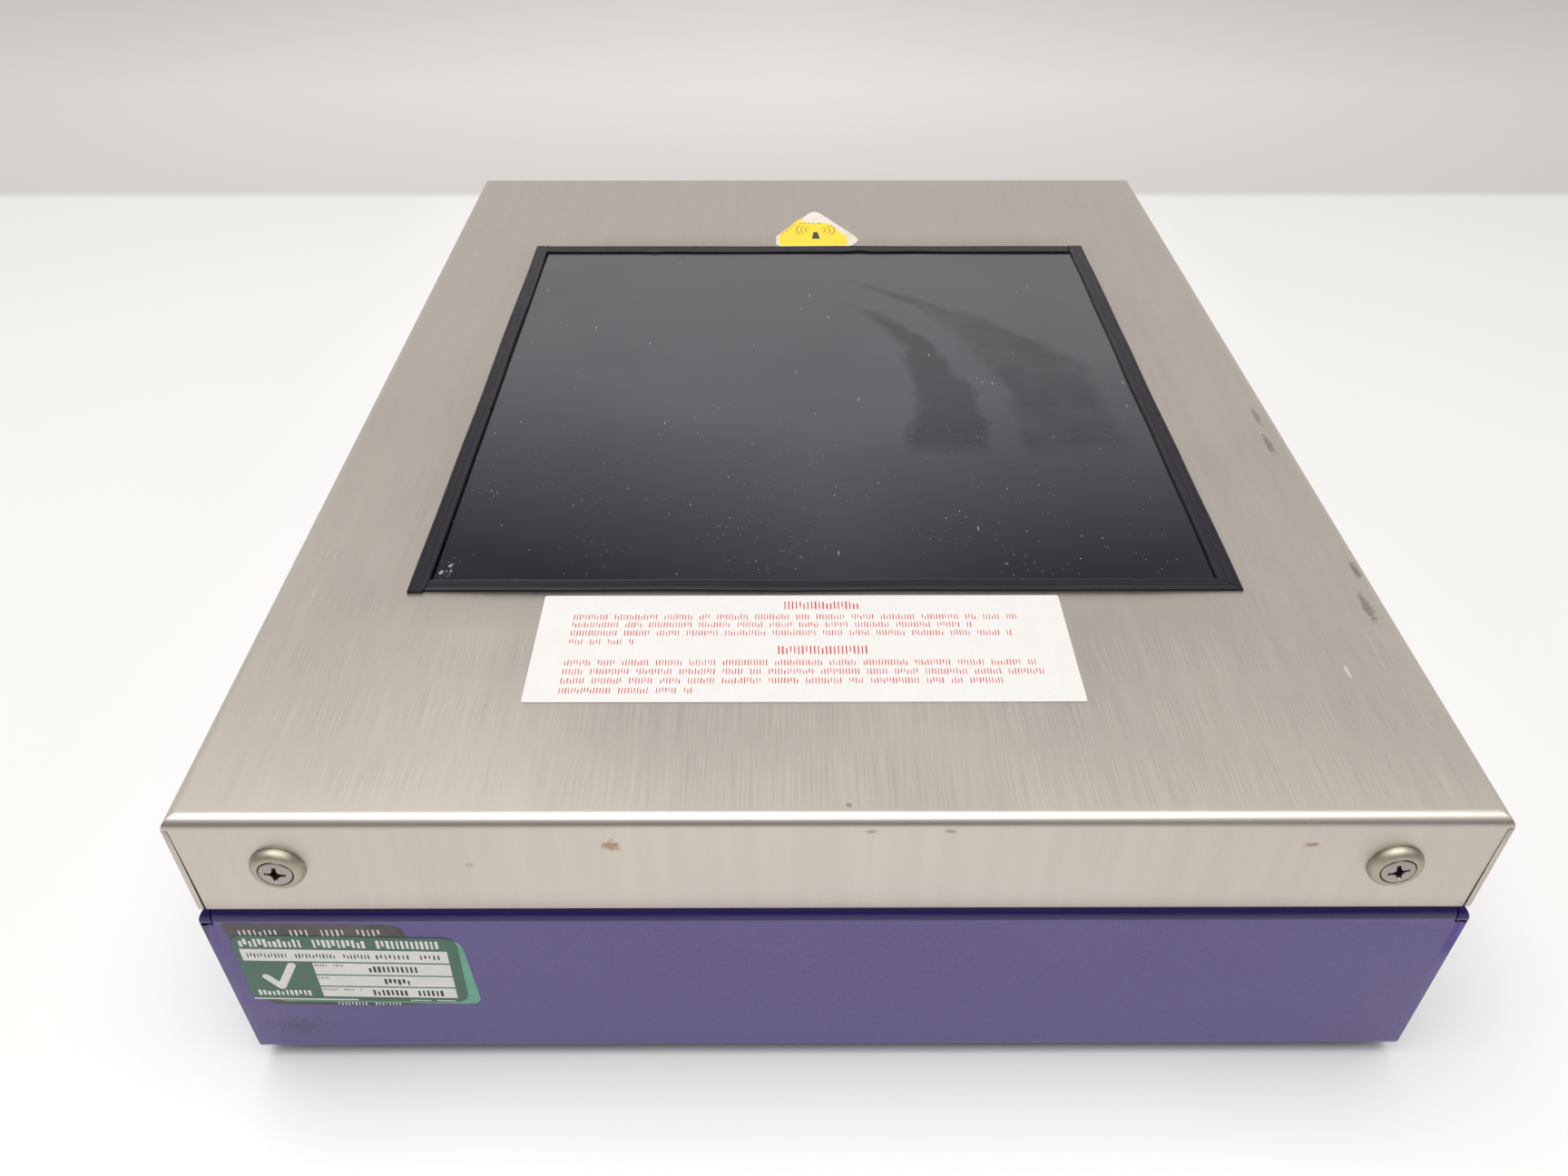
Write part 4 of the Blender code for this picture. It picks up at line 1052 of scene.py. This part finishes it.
# %% The worn triangle behind the window
def arc_bars(centre, radius, spread, middle, count, half):
    """Short bars along an arc."""
    angle = np.linspace(middle - spread, middle + spread, count)
    x = centre[0] + radius * np.cos(np.radians(angle))
    y = centre[1] + radius * np.sin(np.radians(angle))
    length = radius * math.radians(2 * spread / (count - 1)) / 2
    return np.stack([x, y, np.full_like(x, half), np.full_like(x, length), angle], axis=1)


def make_triangle_label():
    """A triangle of worn paper, what is left of its yellow face, and a lamp with its rays."""
    low, high = corners("uv_label")
    level, thick = low[2], (high[2] - low[2]) / MM
    origin = (0, 0, level)
    outline = [(-11.0, 107.2), (-13.4, 108.8), (-13.5, 117.2), (2.2, 144.4)]
    outline += [(18.0, 117.0), (18.9, 113.2), (16.6, 108.8), (13.4, 107.2)]
    outline = rounded(outline, (0.8, 1.2, 2.2, 5.2, 2.2, 1.4, 1.2, 1.2), 8)
    backing = plates("triangle_backing", outline, origin, UPWARD, 0, thick, WORN_PAPER)
    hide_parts("uv_label")
    face = [(-12.2, 108.4), (13.6, 108.2), (14.8, 111.8), (14.2, 117.0), (7.6, 129.9), (5.0, 131.0)]
    face += [(1.2, 130.4), (-2.2, 131.3), (-4.0, 134.8), (-5.3, 132.6), (-12.3, 118.4)]
    face = rounded(face, (1.0, 1.2, 1.0, 1.2, 0.8, 0.8, 0.9, 0.8, 0.6, 0.6, 1.2), 5)
    printed = plates("triangle_face", face, origin, UPWARD, thick - 0.02, thick + 0.015, YELLOW_LABEL)
    lamp = rounded([(0.6, 114.8), (3.8, 114.8), (3.0, 121.4), (1.4, 121.4)], 0.4, 3)
    symbol = plates("triangle_symbol", lamp, origin, UPWARD, thick, thick + 0.03, DARK_INK)
    reaches = (4.0, 5.8, 7.6)
    rays = [arc_bars((2.2, 123.6), r, 34, side, 7, 0.26) for r in reaches for side in (0, 180)]
    rays.append(np.array([(x, 130.1, 0.5, 0.5, 0) for x in (-3.6, -2.0, -0.2, 1.6, 3.8)]))
    rays.append(np.array([(-8.6, 124.2, 0.16, 6.6, -29.5)]))
    rays = bars(np.concatenate(rays))
    arcs = plates("triangle_rays", rays, origin, UPWARD, thick, thick + 0.022, OCHRE_INK)
    print("triangle:", len(outline[0]), "points round")


make_triangle_label()


# %% The stack of labels on the front wall
def capsule(start, stop, radius, steps=9):
    """A stroke with round ends: half a circle at each end."""
    start, stop = np.array(start, float), np.array(stop, float)
    heading = math.degrees(math.atan2(*(stop - start)[::-1]))
    turn = np.radians(heading - 90 + np.linspace(0, 180, steps))
    far = stop + radius * np.stack([np.cos(turn), np.sin(turn)], axis=1)
    near = start - radius * np.stack([np.cos(turn), np.sin(turn)], axis=1)
    return np.concatenate([far, near])[None]


LABEL_TILT = math.radians(1.7)


def print_front_labels():
    """An old label, a newer one over it, and on top the green one, whose print leans with it."""
    low, high = corners("test_label")
    middle = (low + high) / 2
    cos, sin = math.cos(LABEL_TILT), math.sin(LABEL_TILT)
    lean = np.array([[cos, 0, -sin], [sin, 0, cos], [0, -1, 0]])
    face = np.array([middle[0], low[1], middle[2]])
    wall = np.array([0, -BASE_Y, 0])
    old = rounded([(-133.6, 23.0), (-97.1, 22.6), (-96.1, 54.0), (-136.4, 55.1)], (3.4, 3.4, 3.4, 1.6))
    old = plates("old_label", old, wall, OUTWARD, 0.004, 0.022, WORN_LABEL)
    under = rounded([(-132, 24.6), (-83.0, 23.0), (-84.2, 48.2), (-133, 49.4)], 3.2)
    under = plates("under_label", under, wall, OUTWARD, 0.026, 0.044, PALE_GREEN)
    faint = np.concatenate([
        ticks(51.2, -133, -100.5, 2.4, 1.15, 0.17, 71, (3, 8)),
        ticks(23.3, -117, -99.5, 1.2, 0.8, 0.14, 72, (3, 9)),
    ])
    faint = plates("old_label_print", bars(faint), wall, OUTWARD, 0.012, 0.028, WHITE_INK)
    left, right = -25.3, 25.3
    fields = [(-24.0, 22.8, 7.6, 3.1), (-8.6, 22.8, 2.55, -1.9)]
    fields += [(-8.6, 22.8, -2.4, -6.5), (-8.6, 22.8, -7.0, -10.9)]
    boxes = [((a + b) / 2, (c + d) / 2, (b - a) / 2, (c - d) / 2, 0) for a, b, c, d in fields]
    boxes += [(-13, -12.15, 12.2, 0.22, 0), (14, -12.1, 2.4, 0.13, 0), (20, -12.1, 2.2, 0.16, 0)]
    white = np.concatenate([
        np.array(boxes, float),
        ticks(9.95, left + 2.1, right - 2.4, 3.0, 1.1, 0.31, 61, (8, 18)),
        ticks(-9.6, left + 2.1, -9.6, 2.1, 1.05, 0.29, 62, (30, 40)),
    ])
    white = plates("test_label_print", bars(white), face, lean, -0.02, 0.014, WHITE_INK)
    short = capsule((-20.3, -3.2), (-17.7, -7.0), 0.95)
    long = capsule((-17.6, -7.1), (-13.5, 1.5), 0.95)
    short = plates("test_label_mark_short", short, face, lean, -0.02, 0.016, WHITE_INK)
    long = plates("test_label_mark_long", long, face, lean, -0.02, 0.024, WHITE_INK)
    dark = np.concatenate([
        ticks(5.2, -22.6, 5.6, 1.7, 0.78, 0.15, 63, (7, 16)),
        ticks(5.2, 6.6, 22.2, 1.8, 1.0, 0.18, 64, (5, 9)),
        ticks(1.65, -8.1, -1.0, 0.9, 0.62, 0.1, 65, (4, 6)),
        ticks(-3.4, -8.1, -5.6, 0.9, 0.62, 0.1, 66, (9, 12)),
        ticks(-8.0, -8.1, 1.5, 0.9, 0.62, 0.1, 67, (4, 6)),
        ticks(0.3, 4.2, 16.2, 2.3, 1.05, 0.27, 68, (30, 40)),
        ticks(-4.6, 7.0, 13.6, 2.3, 1.05, 0.27, 69, (30, 40)),
        ticks(-9.1, 3.6, 21.4, 2.3, 1.05, 0.27, 70, (6, 8)),
    ])
    dark = plates("test_label_entries", bars(dark), face, lean, 0.0, 0.024, DARK_INK)


dress(GREEN_LABEL, "test_label")
print_front_labels()


# %% [markdown]
# ## The filter window
# The filter is black glass with a violet cast. Use has left a film of haze that the front edge
# and the corners have less of, a wiped arc with darker smears on both sides of it, and specks of
# dust. All of it is written on the glass's own axes: an arc is a band of distance from a point.

# %% Glass finish
ARC_CENTRE = (-68.0, -26.0)
ARC_RADIUS = 124.5


def arc_smears(finish, y):
    """The two dark smears beside the wiped arc. Both grow wider towards the front."""
    waver = finish.scale(finish.noise(finish.place, 60, 4.0, 0.6), 0.3, 0.7, -3 * MM, 3 * MM)
    centre = tuple(c * MM for c in ARC_CENTRE) + (TOP,)
    out = finish.maths("SUBTRACT", finish.distance(centre), ARC_RADIUS * MM)
    out = finish.maths("ADD", out, waver)
    ends = finish.scale(y, 72 * MM, 84 * MM, 1.0, 0.0)
    ends = finish.times(finish.scale(y, -43 * MM, -34 * MM), ends)
    inner_edge = finish.times(finish.scale(y, -40 * MM, 80 * MM, 1.0, 0.0), -28 * MM)
    inner_edge = finish.maths("SUBTRACT", out, finish.maths("ADD", inner_edge, -5 * MM))
    inner = finish.scale(out, -7 * MM, -4 * MM, 1.0, 0.0)
    inner = finish.times(finish.scale(inner_edge, 0, 4 * MM), inner)
    inner = finish.times(inner, finish.scale(y, 44 * MM, 62 * MM, 1.0, 0.0))
    outer_edge = finish.times(finish.scale(y, 16 * MM, 80 * MM, 1.0, 0.0), 30 * MM)
    outer_edge = finish.maths("SUBTRACT", finish.maths("ADD", outer_edge, 8 * MM), out)
    outer = finish.times(finish.scale(out, 3 * MM, 8 * MM), finish.scale(outer_edge, 0, 6 * MM))
    patchy = finish.scale(finish.noise(finish.place, 34, 3.0, 0.6), 0.36, 0.58, 0.35, 1.0)
    return finish.times(finish.maths("MAXIMUM", inner, finish.times(outer, patchy)), ends)


def dust_marks(finish, y):
    """Specks, a fine dusting, hairs and a patch of crumbs. The specks and the fine dusting lie mostly
    in front.
    """
    near = finish.scale(finish.scale(y, -95 * MM, 30 * MM, 0.34, 0.12), 0.1, 0.4, 0.34, 0.52)
    chosen = finish.less(finish.noise(finish.place, 75, 2.0, 0.7), near)
    dust_and_bounce_light = finish.times(finish.less(finish.dots(finish.place, 330), 0.06), chosen)
    fine = finish.less(finish.dots(finish.place, 520), 0.10)
    fine = finish.times(fine, finish.scale(y, -100 * MM, 20 * MM, 1.0, 0.15))
    fine = finish.times(fine, finish.less(finish.noise(finish.place, 33, 3.0, 0.7), 0.5))
    dust_and_bounce_light = finish.maths("MAXIMUM", dust_and_bounce_light, finish.times(fine, 0.3))
    crumbs = finish.blot((-0.0985, -0.0955, TOP), (0.0018, 0.0036, 0.002), 0.7)
    crumbs = finish.times(crumbs, finish.less(finish.dots(finish.place, 700), 0.34))
    dust_and_bounce_light = finish.maths("MAXIMUM", dust_and_bounce_light, finish.times(crumbs, 0.9))
    slant = finish.stretch(finish.place, (1, 0.16, 1), turn=0.6)
    hair = finish.less(finish.dots(slant, 330), 0.055)
    hair = finish.times(hair, finish.less(finish.noise(finish.place, 51, 2.0, 0.7), 0.44))
    return finish.maths("MAXIMUM", dust_and_bounce_light, finish.times(hair, 0.6))


def glass_finish():
    """Black glass under a film of haze, with the smears wiped out of the film and a dusting on it."""
    finish = Finish("filter_glass", (0.02, 0.018, 0.024), 0.1, Specular_IOR_Level=0.38)
    parts = finish.add("SeparateXYZ", {"Vector": finish.place})
    aside, y = finish.maths("ABSOLUTE", parts.outputs["X"]), parts.outputs["Y"]
    shifted = finish.maths("SUBTRACT", y, finish.times(aside, 0.45))
    front = finish.scale(shifted, -130 * MM, -25 * MM, 0.0, 1.0)
    sides = finish.scale(aside, 10 * MM, 100 * MM, 1.05, 0.93)
    cloud = finish.scale(finish.noise(finish.place, 18, 3.0), 0.3, 0.7, 0.86, 1.12)
    haze = finish.times(finish.times(front, sides), cloud)
    haze = finish.times(haze, finish.scale(arc_smears(finish, y), 0, 1, 1.0, 0.42))
    film = finish.mix(haze, (0.007, 0.0045, 0.012), (0.060, 0.057, 0.067))
    marks = finish.times(dust_marks(finish, y), 0.8)
    finish.plug("Base Color", finish.mix(marks, film, (0.50, 0.48, 0.46)))
    finish.plug("Roughness", finish.scale(haze, 0, 1, 0.06, 0.16))
    return finish.material


# %% The pane
PANE_HALF = 101.0 * MM


def make_pane():
    """A square pane with a rebated edge: rings from its middle over the step and back underneath."""
    top, step, low = TOP - 0.02 * MM, GLASS_HIGH[2], GLASS_LOW[2]
    outer = GLASS_HIGH[0]
    rows = [(0, top), (PANE_HALF - 0.15 * MM, top), (PANE_HALF, top - 0.15 * MM), (PANE_HALF, step)]
    rows += [(outer, step), (outer, low), (0, low)]
    ring = ring_of(1.0, 1.0, 0.01, 4)
    ring = np.concatenate([ring, ring[:1]])
    half, height = np.array(rows).T
    x = half[:, None] * ring[None, :, 0]
    y = half[:, None] * ring[None, :, 1]
    z = np.broadcast_to(height[:, None], x.shape)
    pane = surface("filter_pane", x, y, z, glass_finish(), smooth=30)
    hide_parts("filter_glass")
    print("pane:", np.round(np.array(pane.dimensions) / MM, 1), "mm")


make_pane()


# %% [markdown]
# ## Fittings on the rear wall
# The inlet, its fuse drawer and the two switches are moulded in black nylon with a fine spark
# texture. A rocker's face is a shallow valley: its height grows with the square of the distance
# from its middle. Rings shrink from its rim to its centre to carry that height.

# %% Moulded plastics and small metal
def moulded(name, colour, other, roughness, grain=0.03):
    """Moulded plastic or paint, with a fine grain whose depth is in millimetres."""
    finish = Finish(name, colour, roughness)
    spark = finish.noise(finish.place, 3200, 2.0, 0.6)
    cloud = finish.noise(finish.place, 140, 3.0)
    finish.plug("Base Color", finish.mix(finish.scale(cloud, 0.3, 0.7), colour, other))
    finish.plug("Roughness", finish.scale(spark, 0.3, 0.7, roughness - 0.06, roughness + 0.08))
    finish.bump(spark, grain * MM, 0.5)
    return finish.material


BLACK_PLASTIC = moulded("black_plastic", (0.018, 0.018, 0.019), (0.03, 0.03, 0.031), 0.42)
ROCKER_PLASTIC = moulded("rocker_plastic", (0.014, 0.014, 0.015), (0.022, 0.022, 0.023), 0.25, 0.012)
NYLON = moulded("white_nylon", (0.72, 0.70, 0.66), (0.62, 0.60, 0.55), 0.45)
dress(BLACK_PLASTIC, "iec_inlet", "fuse_drawer", "power_switch_body", "intensity_switch_body")


# %% Rockers
ROCKER_TILT = math.radians(-8)


def evenly(ring, count):
    """Points at equal steps along a closed ring."""
    closed = np.concatenate([ring, ring[:1]])
    steps = np.linalg.norm(np.diff(closed, axis=0), axis=1)
    walked = np.concatenate([[0], np.cumsum(steps)])
    target = np.linspace(0, walked[-1], count + 1)
    return np.stack([np.interp(target, walked, closed[:, k]) for k in (0, 1)], axis=-1)


def make_rocker(name, half_x, half_z, off_mark, on_mark):
    """A rocker: height crest + rise (z/half)^2 over the face, a rounded rim, and tapering sides."""
    pivot = PIVOTS[name]
    rim, crest, rise = 0.55, 2.2, half_z * math.tan(-ROCKER_TILT)
    rings, heights = [], []
    for share in np.linspace(0, 1, 9):
        rings.append(evenly(ring_of(half_x - rim, half_z - rim, 0.5), 96) * share)
        heights.append(0.0)
    for turn in np.linspace(0, math.pi / 2, 6)[1:]:
        inset = rim * (1 - math.sin(turn))
        rings.append(evenly(ring_of(half_x - inset, half_z - inset, 1.05 - inset), 96))
        heights.append(-rim * (1 - math.cos(turn)))
    rings, heights = np.array(rings), np.array(heights)[:, None]
    face = heights + crest + rise * (rings[..., 1] / half_z) ** 2
    lower = [(1.0, 0.4), (0.65, -1.4), (0.3, -3.2), (0.0, -3.2)]
    side = np.array([rings[-1] * (min(1.0, 99 * tuck), tuck) for tuck, _ in lower])
    x = np.concatenate([rings[..., 0], side[..., 0]])
    z = np.concatenate([rings[..., 1], side[..., 1]])
    y = np.concatenate([face, np.array([up for _, up in lower])[:, None] + 0 * side[..., 0]])
    cos, sin = math.cos(ROCKER_TILT), math.sin(ROCKER_TILT)

    def tipped(y, z):
        """Y and Z in the frame, of a place on the rocker as it rests, tipped about its pivot."""
        return pivot[1] + (y * cos - z * sin) * MM, pivot[2] + (y * sin + z * cos) * MM

    world = (pivot[0] + x * MM, *tipped(y, z))
    piece = surface(f"{name}_face", *world, ROCKER_PLASTIC, smooth=35, body=name)
    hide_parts(name)
    for label, outline, height in (("off", off_mark, -0.52), ("on", on_mark, 0.52)):
        turn = math.atan(2 * rise * height / half_z) - ROCKER_TILT
        centre = (pivot[0], *tipped(crest + rise * height**2, height * half_z))
        axes = [(-1, 0, 0), (0, math.sin(turn), math.cos(turn)), (0, math.cos(turn), -math.sin(turn))]
        mark = plates(f"{name}_{label}", outline, centre, axes, -0.3, 0.03, WHITE_INK, body=name)
    return round(2 * half_x, 1), round(2 * half_z, 1)


def ring_mark(radius, half, count):
    """The round mark, as short bars."""
    return bars(arc_bars((0, 0), radius, 180 - 180 / count, 0, count, half))


PIVOTS = {joint["child"]: joint["pos_m"] for joint in frame["joints"] if "pos_m" in joint}
POWER_MARKS = ring_mark(1.35, 0.26, 20), bars([(0, 0, 0.28, 1.5, 0)])
INTENSITY_MARKS = ring_mark(0.7, 0.2, 14), bars([(0, 0, 0.22, 1.0, 0)])
print(
    "rockers:",
    make_rocker("power_rocker", 9.1, 11.7, *POWER_MARKS),
    make_rocker("intensity_rocker", 5.6, 7.8, *INTENSITY_MARKS),
)


# %% Blades of the inlet
def make_blades():
    """Three flat pins with rounded edges, seen at the bottom of the inlet's recess."""
    low, high = corners("iec_inlet")
    origin = ((low[0] + high[0]) / 2, high[1], (low[2] + high[2]) / 2 + 5 * MM)
    blade = evenly(ring_of(1.04, 2.04, 0.4), 24)[:-1]
    blades = np.stack([blade + place for place in ((-7, -2), (0, 2), (7, -2))])
    axes = [(-1, 0, 0), (0, 0, 1), (0, 1, 0)]
    piece = plates("inlet_blades", blades, origin, axes, -16.2, -5.15, NICKEL)


make_blades()


# %% [markdown]
# ## Inside the box
# The lamps, their gear and the wiring are seen only through the vents, but they are part of the
# model. Their shapes come with the frame, and here each gets the finish of the real thing.

# %% Finishes of the inner parts
def zinc_plate():
    """Zinc has a crystal bloom: cells of slightly different tone, with a yellow cast."""
    finish = Finish("zinc_plate", (0.60, 0.60, 0.58), 0.4, 1.0)
    bloom = finish.dots(finish.place, 170)
    cloud = finish.noise(finish.place, 40, 3.0)
    tone = finish.mix(finish.scale(bloom, 0.0, 0.9), (0.52, 0.53, 0.53), (0.68, 0.68, 0.64))
    yellow = finish.scale(cloud, 0.4, 0.8, 0.0, 0.4)
    finish.plug("Base Color", finish.mix(yellow, tone, (0.60, 0.55, 0.42)))
    finish.plug("Roughness", finish.scale(bloom, 0.0, 1.0, 0.32, 0.48))
    return finish.material


def polished_aluminium():
    """Rolled, bright sheet: a fine grain along the tubes."""
    finish = Finish("polished_aluminium", (0.86, 0.87, 0.88), 0.12, 1.0)
    grain = finish.noise(finish.stretch(finish.place, (1.0, 0.02, 1.0)), 2200, 3.0)
    finish.plug("Base Color", finish.mix(grain, (0.80, 0.81, 0.82), (0.90, 0.91, 0.92)))
    finish.plug("Roughness", finish.scale(grain, 0.3, 0.7, 0.08, 0.2))
    return finish.material


def capped_glass(name, node, cap, glass, metal):
    """A tube with metal ends: the distance from its middle along Y tells the glass from the caps."""
    low, high = corners(node)
    middle, half = (low[1] + high[1]) / 2, (high[1] - low[1]) / 2
    finish = Finish(name, glass, 0.2)
    y = finish.add("SeparateXYZ", {"Vector": finish.place}).outputs["Y"]
    away = finish.maths("ABSOLUTE", finish.maths("SUBTRACT", y, middle))
    end = finish.maths("GREATER_THAN", away, half - cap)
    cloud = finish.noise(finish.place, 90, 3.0)
    tube = finish.mix(cloud, glass, tuple(0.86 * c for c in glass))
    dark = finish.scale(away, half - cap - 9 * MM, half - cap, 0.0, 0.35)
    tube = finish.mix(dark, tube, (0.25, 0.23, 0.21))
    finish.plug("Base Color", finish.mix(end, tube, metal))
    finish.plug("Metallic", end)
    finish.plug("Roughness", finish.scale(cloud, 0.3, 0.7, 0.12, 0.3))
    return finish.material


def braided_sleeve():
    """Braid: two sets of diagonal ridges, each a sine across the cable, and the higher one shows."""
    finish = Finish("loom_sleeve", (0.03, 0.03, 0.033), 0.6)
    parts = finish.add("SeparateXYZ", {"Vector": finish.place})
    x, y, z = (parts.outputs[axis] for axis in "XYZ")
    level = finish.times(finish.maths("ADD", x, y), 2600)
    rise = finish.times(finish.maths("SUBTRACT", z, finish.maths("SUBTRACT", x, y)), 2600)
    weave = finish.maths("MAXIMUM", finish.maths("SINE", level), finish.maths("SINE", rise))
    # Painted shade: the colour is darker in the troughs of the weave and lighter on its crests.
    crest = finish.scale(weave, -0.2, 1.0)
    finish.plug("Base Color", finish.mix(crest, (0.010, 0.010, 0.012), (0.055, 0.055, 0.06)))
    finish.bump(weave, 0.15 * MM, 0.6)
    return finish.material


ZINC = zinc_plate()
BALLAST_STEEL = moulded("ballast_steel", (0.60, 0.61, 0.62), (0.68, 0.69, 0.70), 0.4)
LAMP_GLASS = capped_glass("lamp_glass", "uv_lamp_1", 11 * MM, (0.78, 0.80, 0.84), (0.75, 0.76, 0.77))
FUSE_GLASS = capped_glass("fuse_glass", "fuse", 5 * MM, (0.72, 0.76, 0.74), (0.66, 0.63, 0.56))
names = list(frame["nodes"])
dress(ZINC, *[name for name in names if name.startswith(("filter_clamp", "rivet_nut", "lamp_bracket"))])
dress(polished_aluminium(), "reflector")
dress(LAMP_GLASS, *[name for name in names if name.startswith("uv_lamp")])
dress(NYLON, *[name for name in names if name.startswith("lamp_holder")])
dress(BALLAST_STEEL, *[name for name in names if name.startswith("ballast")])
dress(FUSE_GLASS, "fuse")
dress(braided_sleeve(), "wiring_loom")
print("all", len(names), "solids have a finish or a piece in their place")


# %% [markdown]
# ## Camera, light and floor
# The camera stands in front of the object and looks down on it. A large soft light hangs over a
# white bench, and the room behind the camera is dim, which is what gives the front bend of the
# cover its bright upper half and its dark lower half.

# %% Camera
FOCAL_LENGTH = 27.93
CAMERA_PLACE = (-0.01206, -0.3441, 0.2821)
CAMERA_TURN = (51.076, -0.048, -0.193)


def make_camera():
    """The focal length is in millimetres on a 36 mm sensor, and the turn in degrees."""
    lens = bpy.data.cameras.new("camera")
    lens.lens = FOCAL_LENGTH
    lens.sensor_width = 36.0
    lens.clip_start = 0.01
    camera = put("camera", lens)
    camera.location = CAMERA_PLACE
    camera.rotation_euler = [math.radians(angle) for angle in CAMERA_TURN]
    bpy.context.scene.camera = camera


make_camera()


# %% Light
def area_light(name, place, aim, size, power):
    """A rectangular soft light at a place, aimed at a point."""
    lamp = bpy.data.lights.new(name, "AREA")
    lamp.shape = "RECTANGLE"
    lamp.size, lamp.size_y = size
    lamp.energy = power
    light = put(name, lamp)
    back = np.array(place, float) - np.array(aim, float)
    light.location = place
    tilt = math.acos(back[2] / np.linalg.norm(back))
    light.rotation_euler = (tilt, 0, math.atan2(back[1], back[0]) + math.pi / 2)


area_light("overhead", (-0.06, -0.22, 1.45), (0.0, -0.10, 0), (1.7, 1.3), 30)


def make_world():
    """A room that is bright low down behind the object, dimmer above, and dim behind the camera."""
    world = bpy.data.worlds.new("room")
    world.use_nodes = True
    tree = world.node_tree
    direction = tree.nodes.new("ShaderNodeSeparateXYZ")
    place = tree.nodes.new("ShaderNodeTexCoord")
    tree.links.new(place.outputs["Generated"], direction.inputs[0])

    def step(axis, low, high, start, end):
        node = tree.nodes.new("ShaderNodeMapRange")
        node.interpolation_type = "SMOOTHSTEP"
        for name, value in (("From Min", low), ("From Max", high), ("To Min", start), ("To Max", end)):
            node.inputs[name].default_value = value
        tree.links.new(direction.outputs[axis], node.inputs["Value"])
        return node.outputs["Result"]

    def combine(operation, first, second):
        node = tree.nodes.new("ShaderNodeMath")
        node.operation = operation
        tree.links.new(first, node.inputs[0])
        tree.links.new(second, node.inputs[1])
        return node.outputs[0]

    far_wall = step("Y", -0.2, 0.6, 0.0, 1.0), step("Z", 0.46, 0.66, 0.82, 0.37)
    near_wall = step("Y", -0.2, 0.6, 1.0, 0.0), step("Z", 0.02, 0.5, 0.08, 0.36)
    both = combine("ADD", combine("MULTIPLY", *far_wall), combine("MULTIPLY", *near_wall))
    shine = tree.nodes["Background"]
    shine.inputs["Color"].default_value = (1.0, 0.975, 0.945, 1.0)
    tree.links.new(both, shine.inputs["Strength"])
    bpy.context.scene.world = world
    bpy.context.scene.view_settings.view_transform = "Standard"


make_world()


# %% Bench
BENCH_HALF = 3.0


def make_bench():
    """A bench top with a paler and a greyer half, which meet behind the object, both with painted light
    and shade.
    """
    finish = Finish("bench_top", (0.85, 0.84, 0.82), 0.6)
    parts = finish.add("SeparateXYZ", {"Vector": finish.place})
    far = finish.scale(parts.outputs["Y"], 0.385, 0.395)
    cloud = finish.noise(finish.place, 3.0, 2.0)
    away = finish.maths("ABSOLUTE", parts.outputs["X"])
    white = finish.mix(cloud, (0.775, 0.77, 0.76), (0.80, 0.795, 0.785))
    # Painted shade: the pale half is darker to the left and right of the object.
    white = finish.mix(finish.scale(away, 0.08, 0.24), white, (0.685, 0.675, 0.66))
    # Painted light: the grey half is lighter in the middle than at its sides.
    aside = finish.scale(away, 0, 0.55, 1.0, 0.0)
    grey = finish.mix(aside, (0.62, 0.605, 0.585), (0.70, 0.685, 0.665))
    # Painted shade: the grey half is darker just behind the seam than further back.
    grey = finish.mix(finish.scale(parts.outputs["Y"], 0.39, 0.6), (0.53, 0.515, 0.5), grey)
    finish.plug("Base Color", finish.mix(far, white, grey))
    across = np.linspace(-BENCH_HALF, BENCH_HALF, 3)
    x, y = np.meshgrid(across, across)
    points = np.stack([x, y, np.zeros_like(x)], axis=-1).reshape(-1, 3)
    mesh = bpy.data.meshes.new("bench")
    mesh.from_pydata(points.tolist(), [], grid_cells(3, 3).tolist())
    mesh.materials.append(finish.material)
    bench = put("bench", mesh)


make_bench()
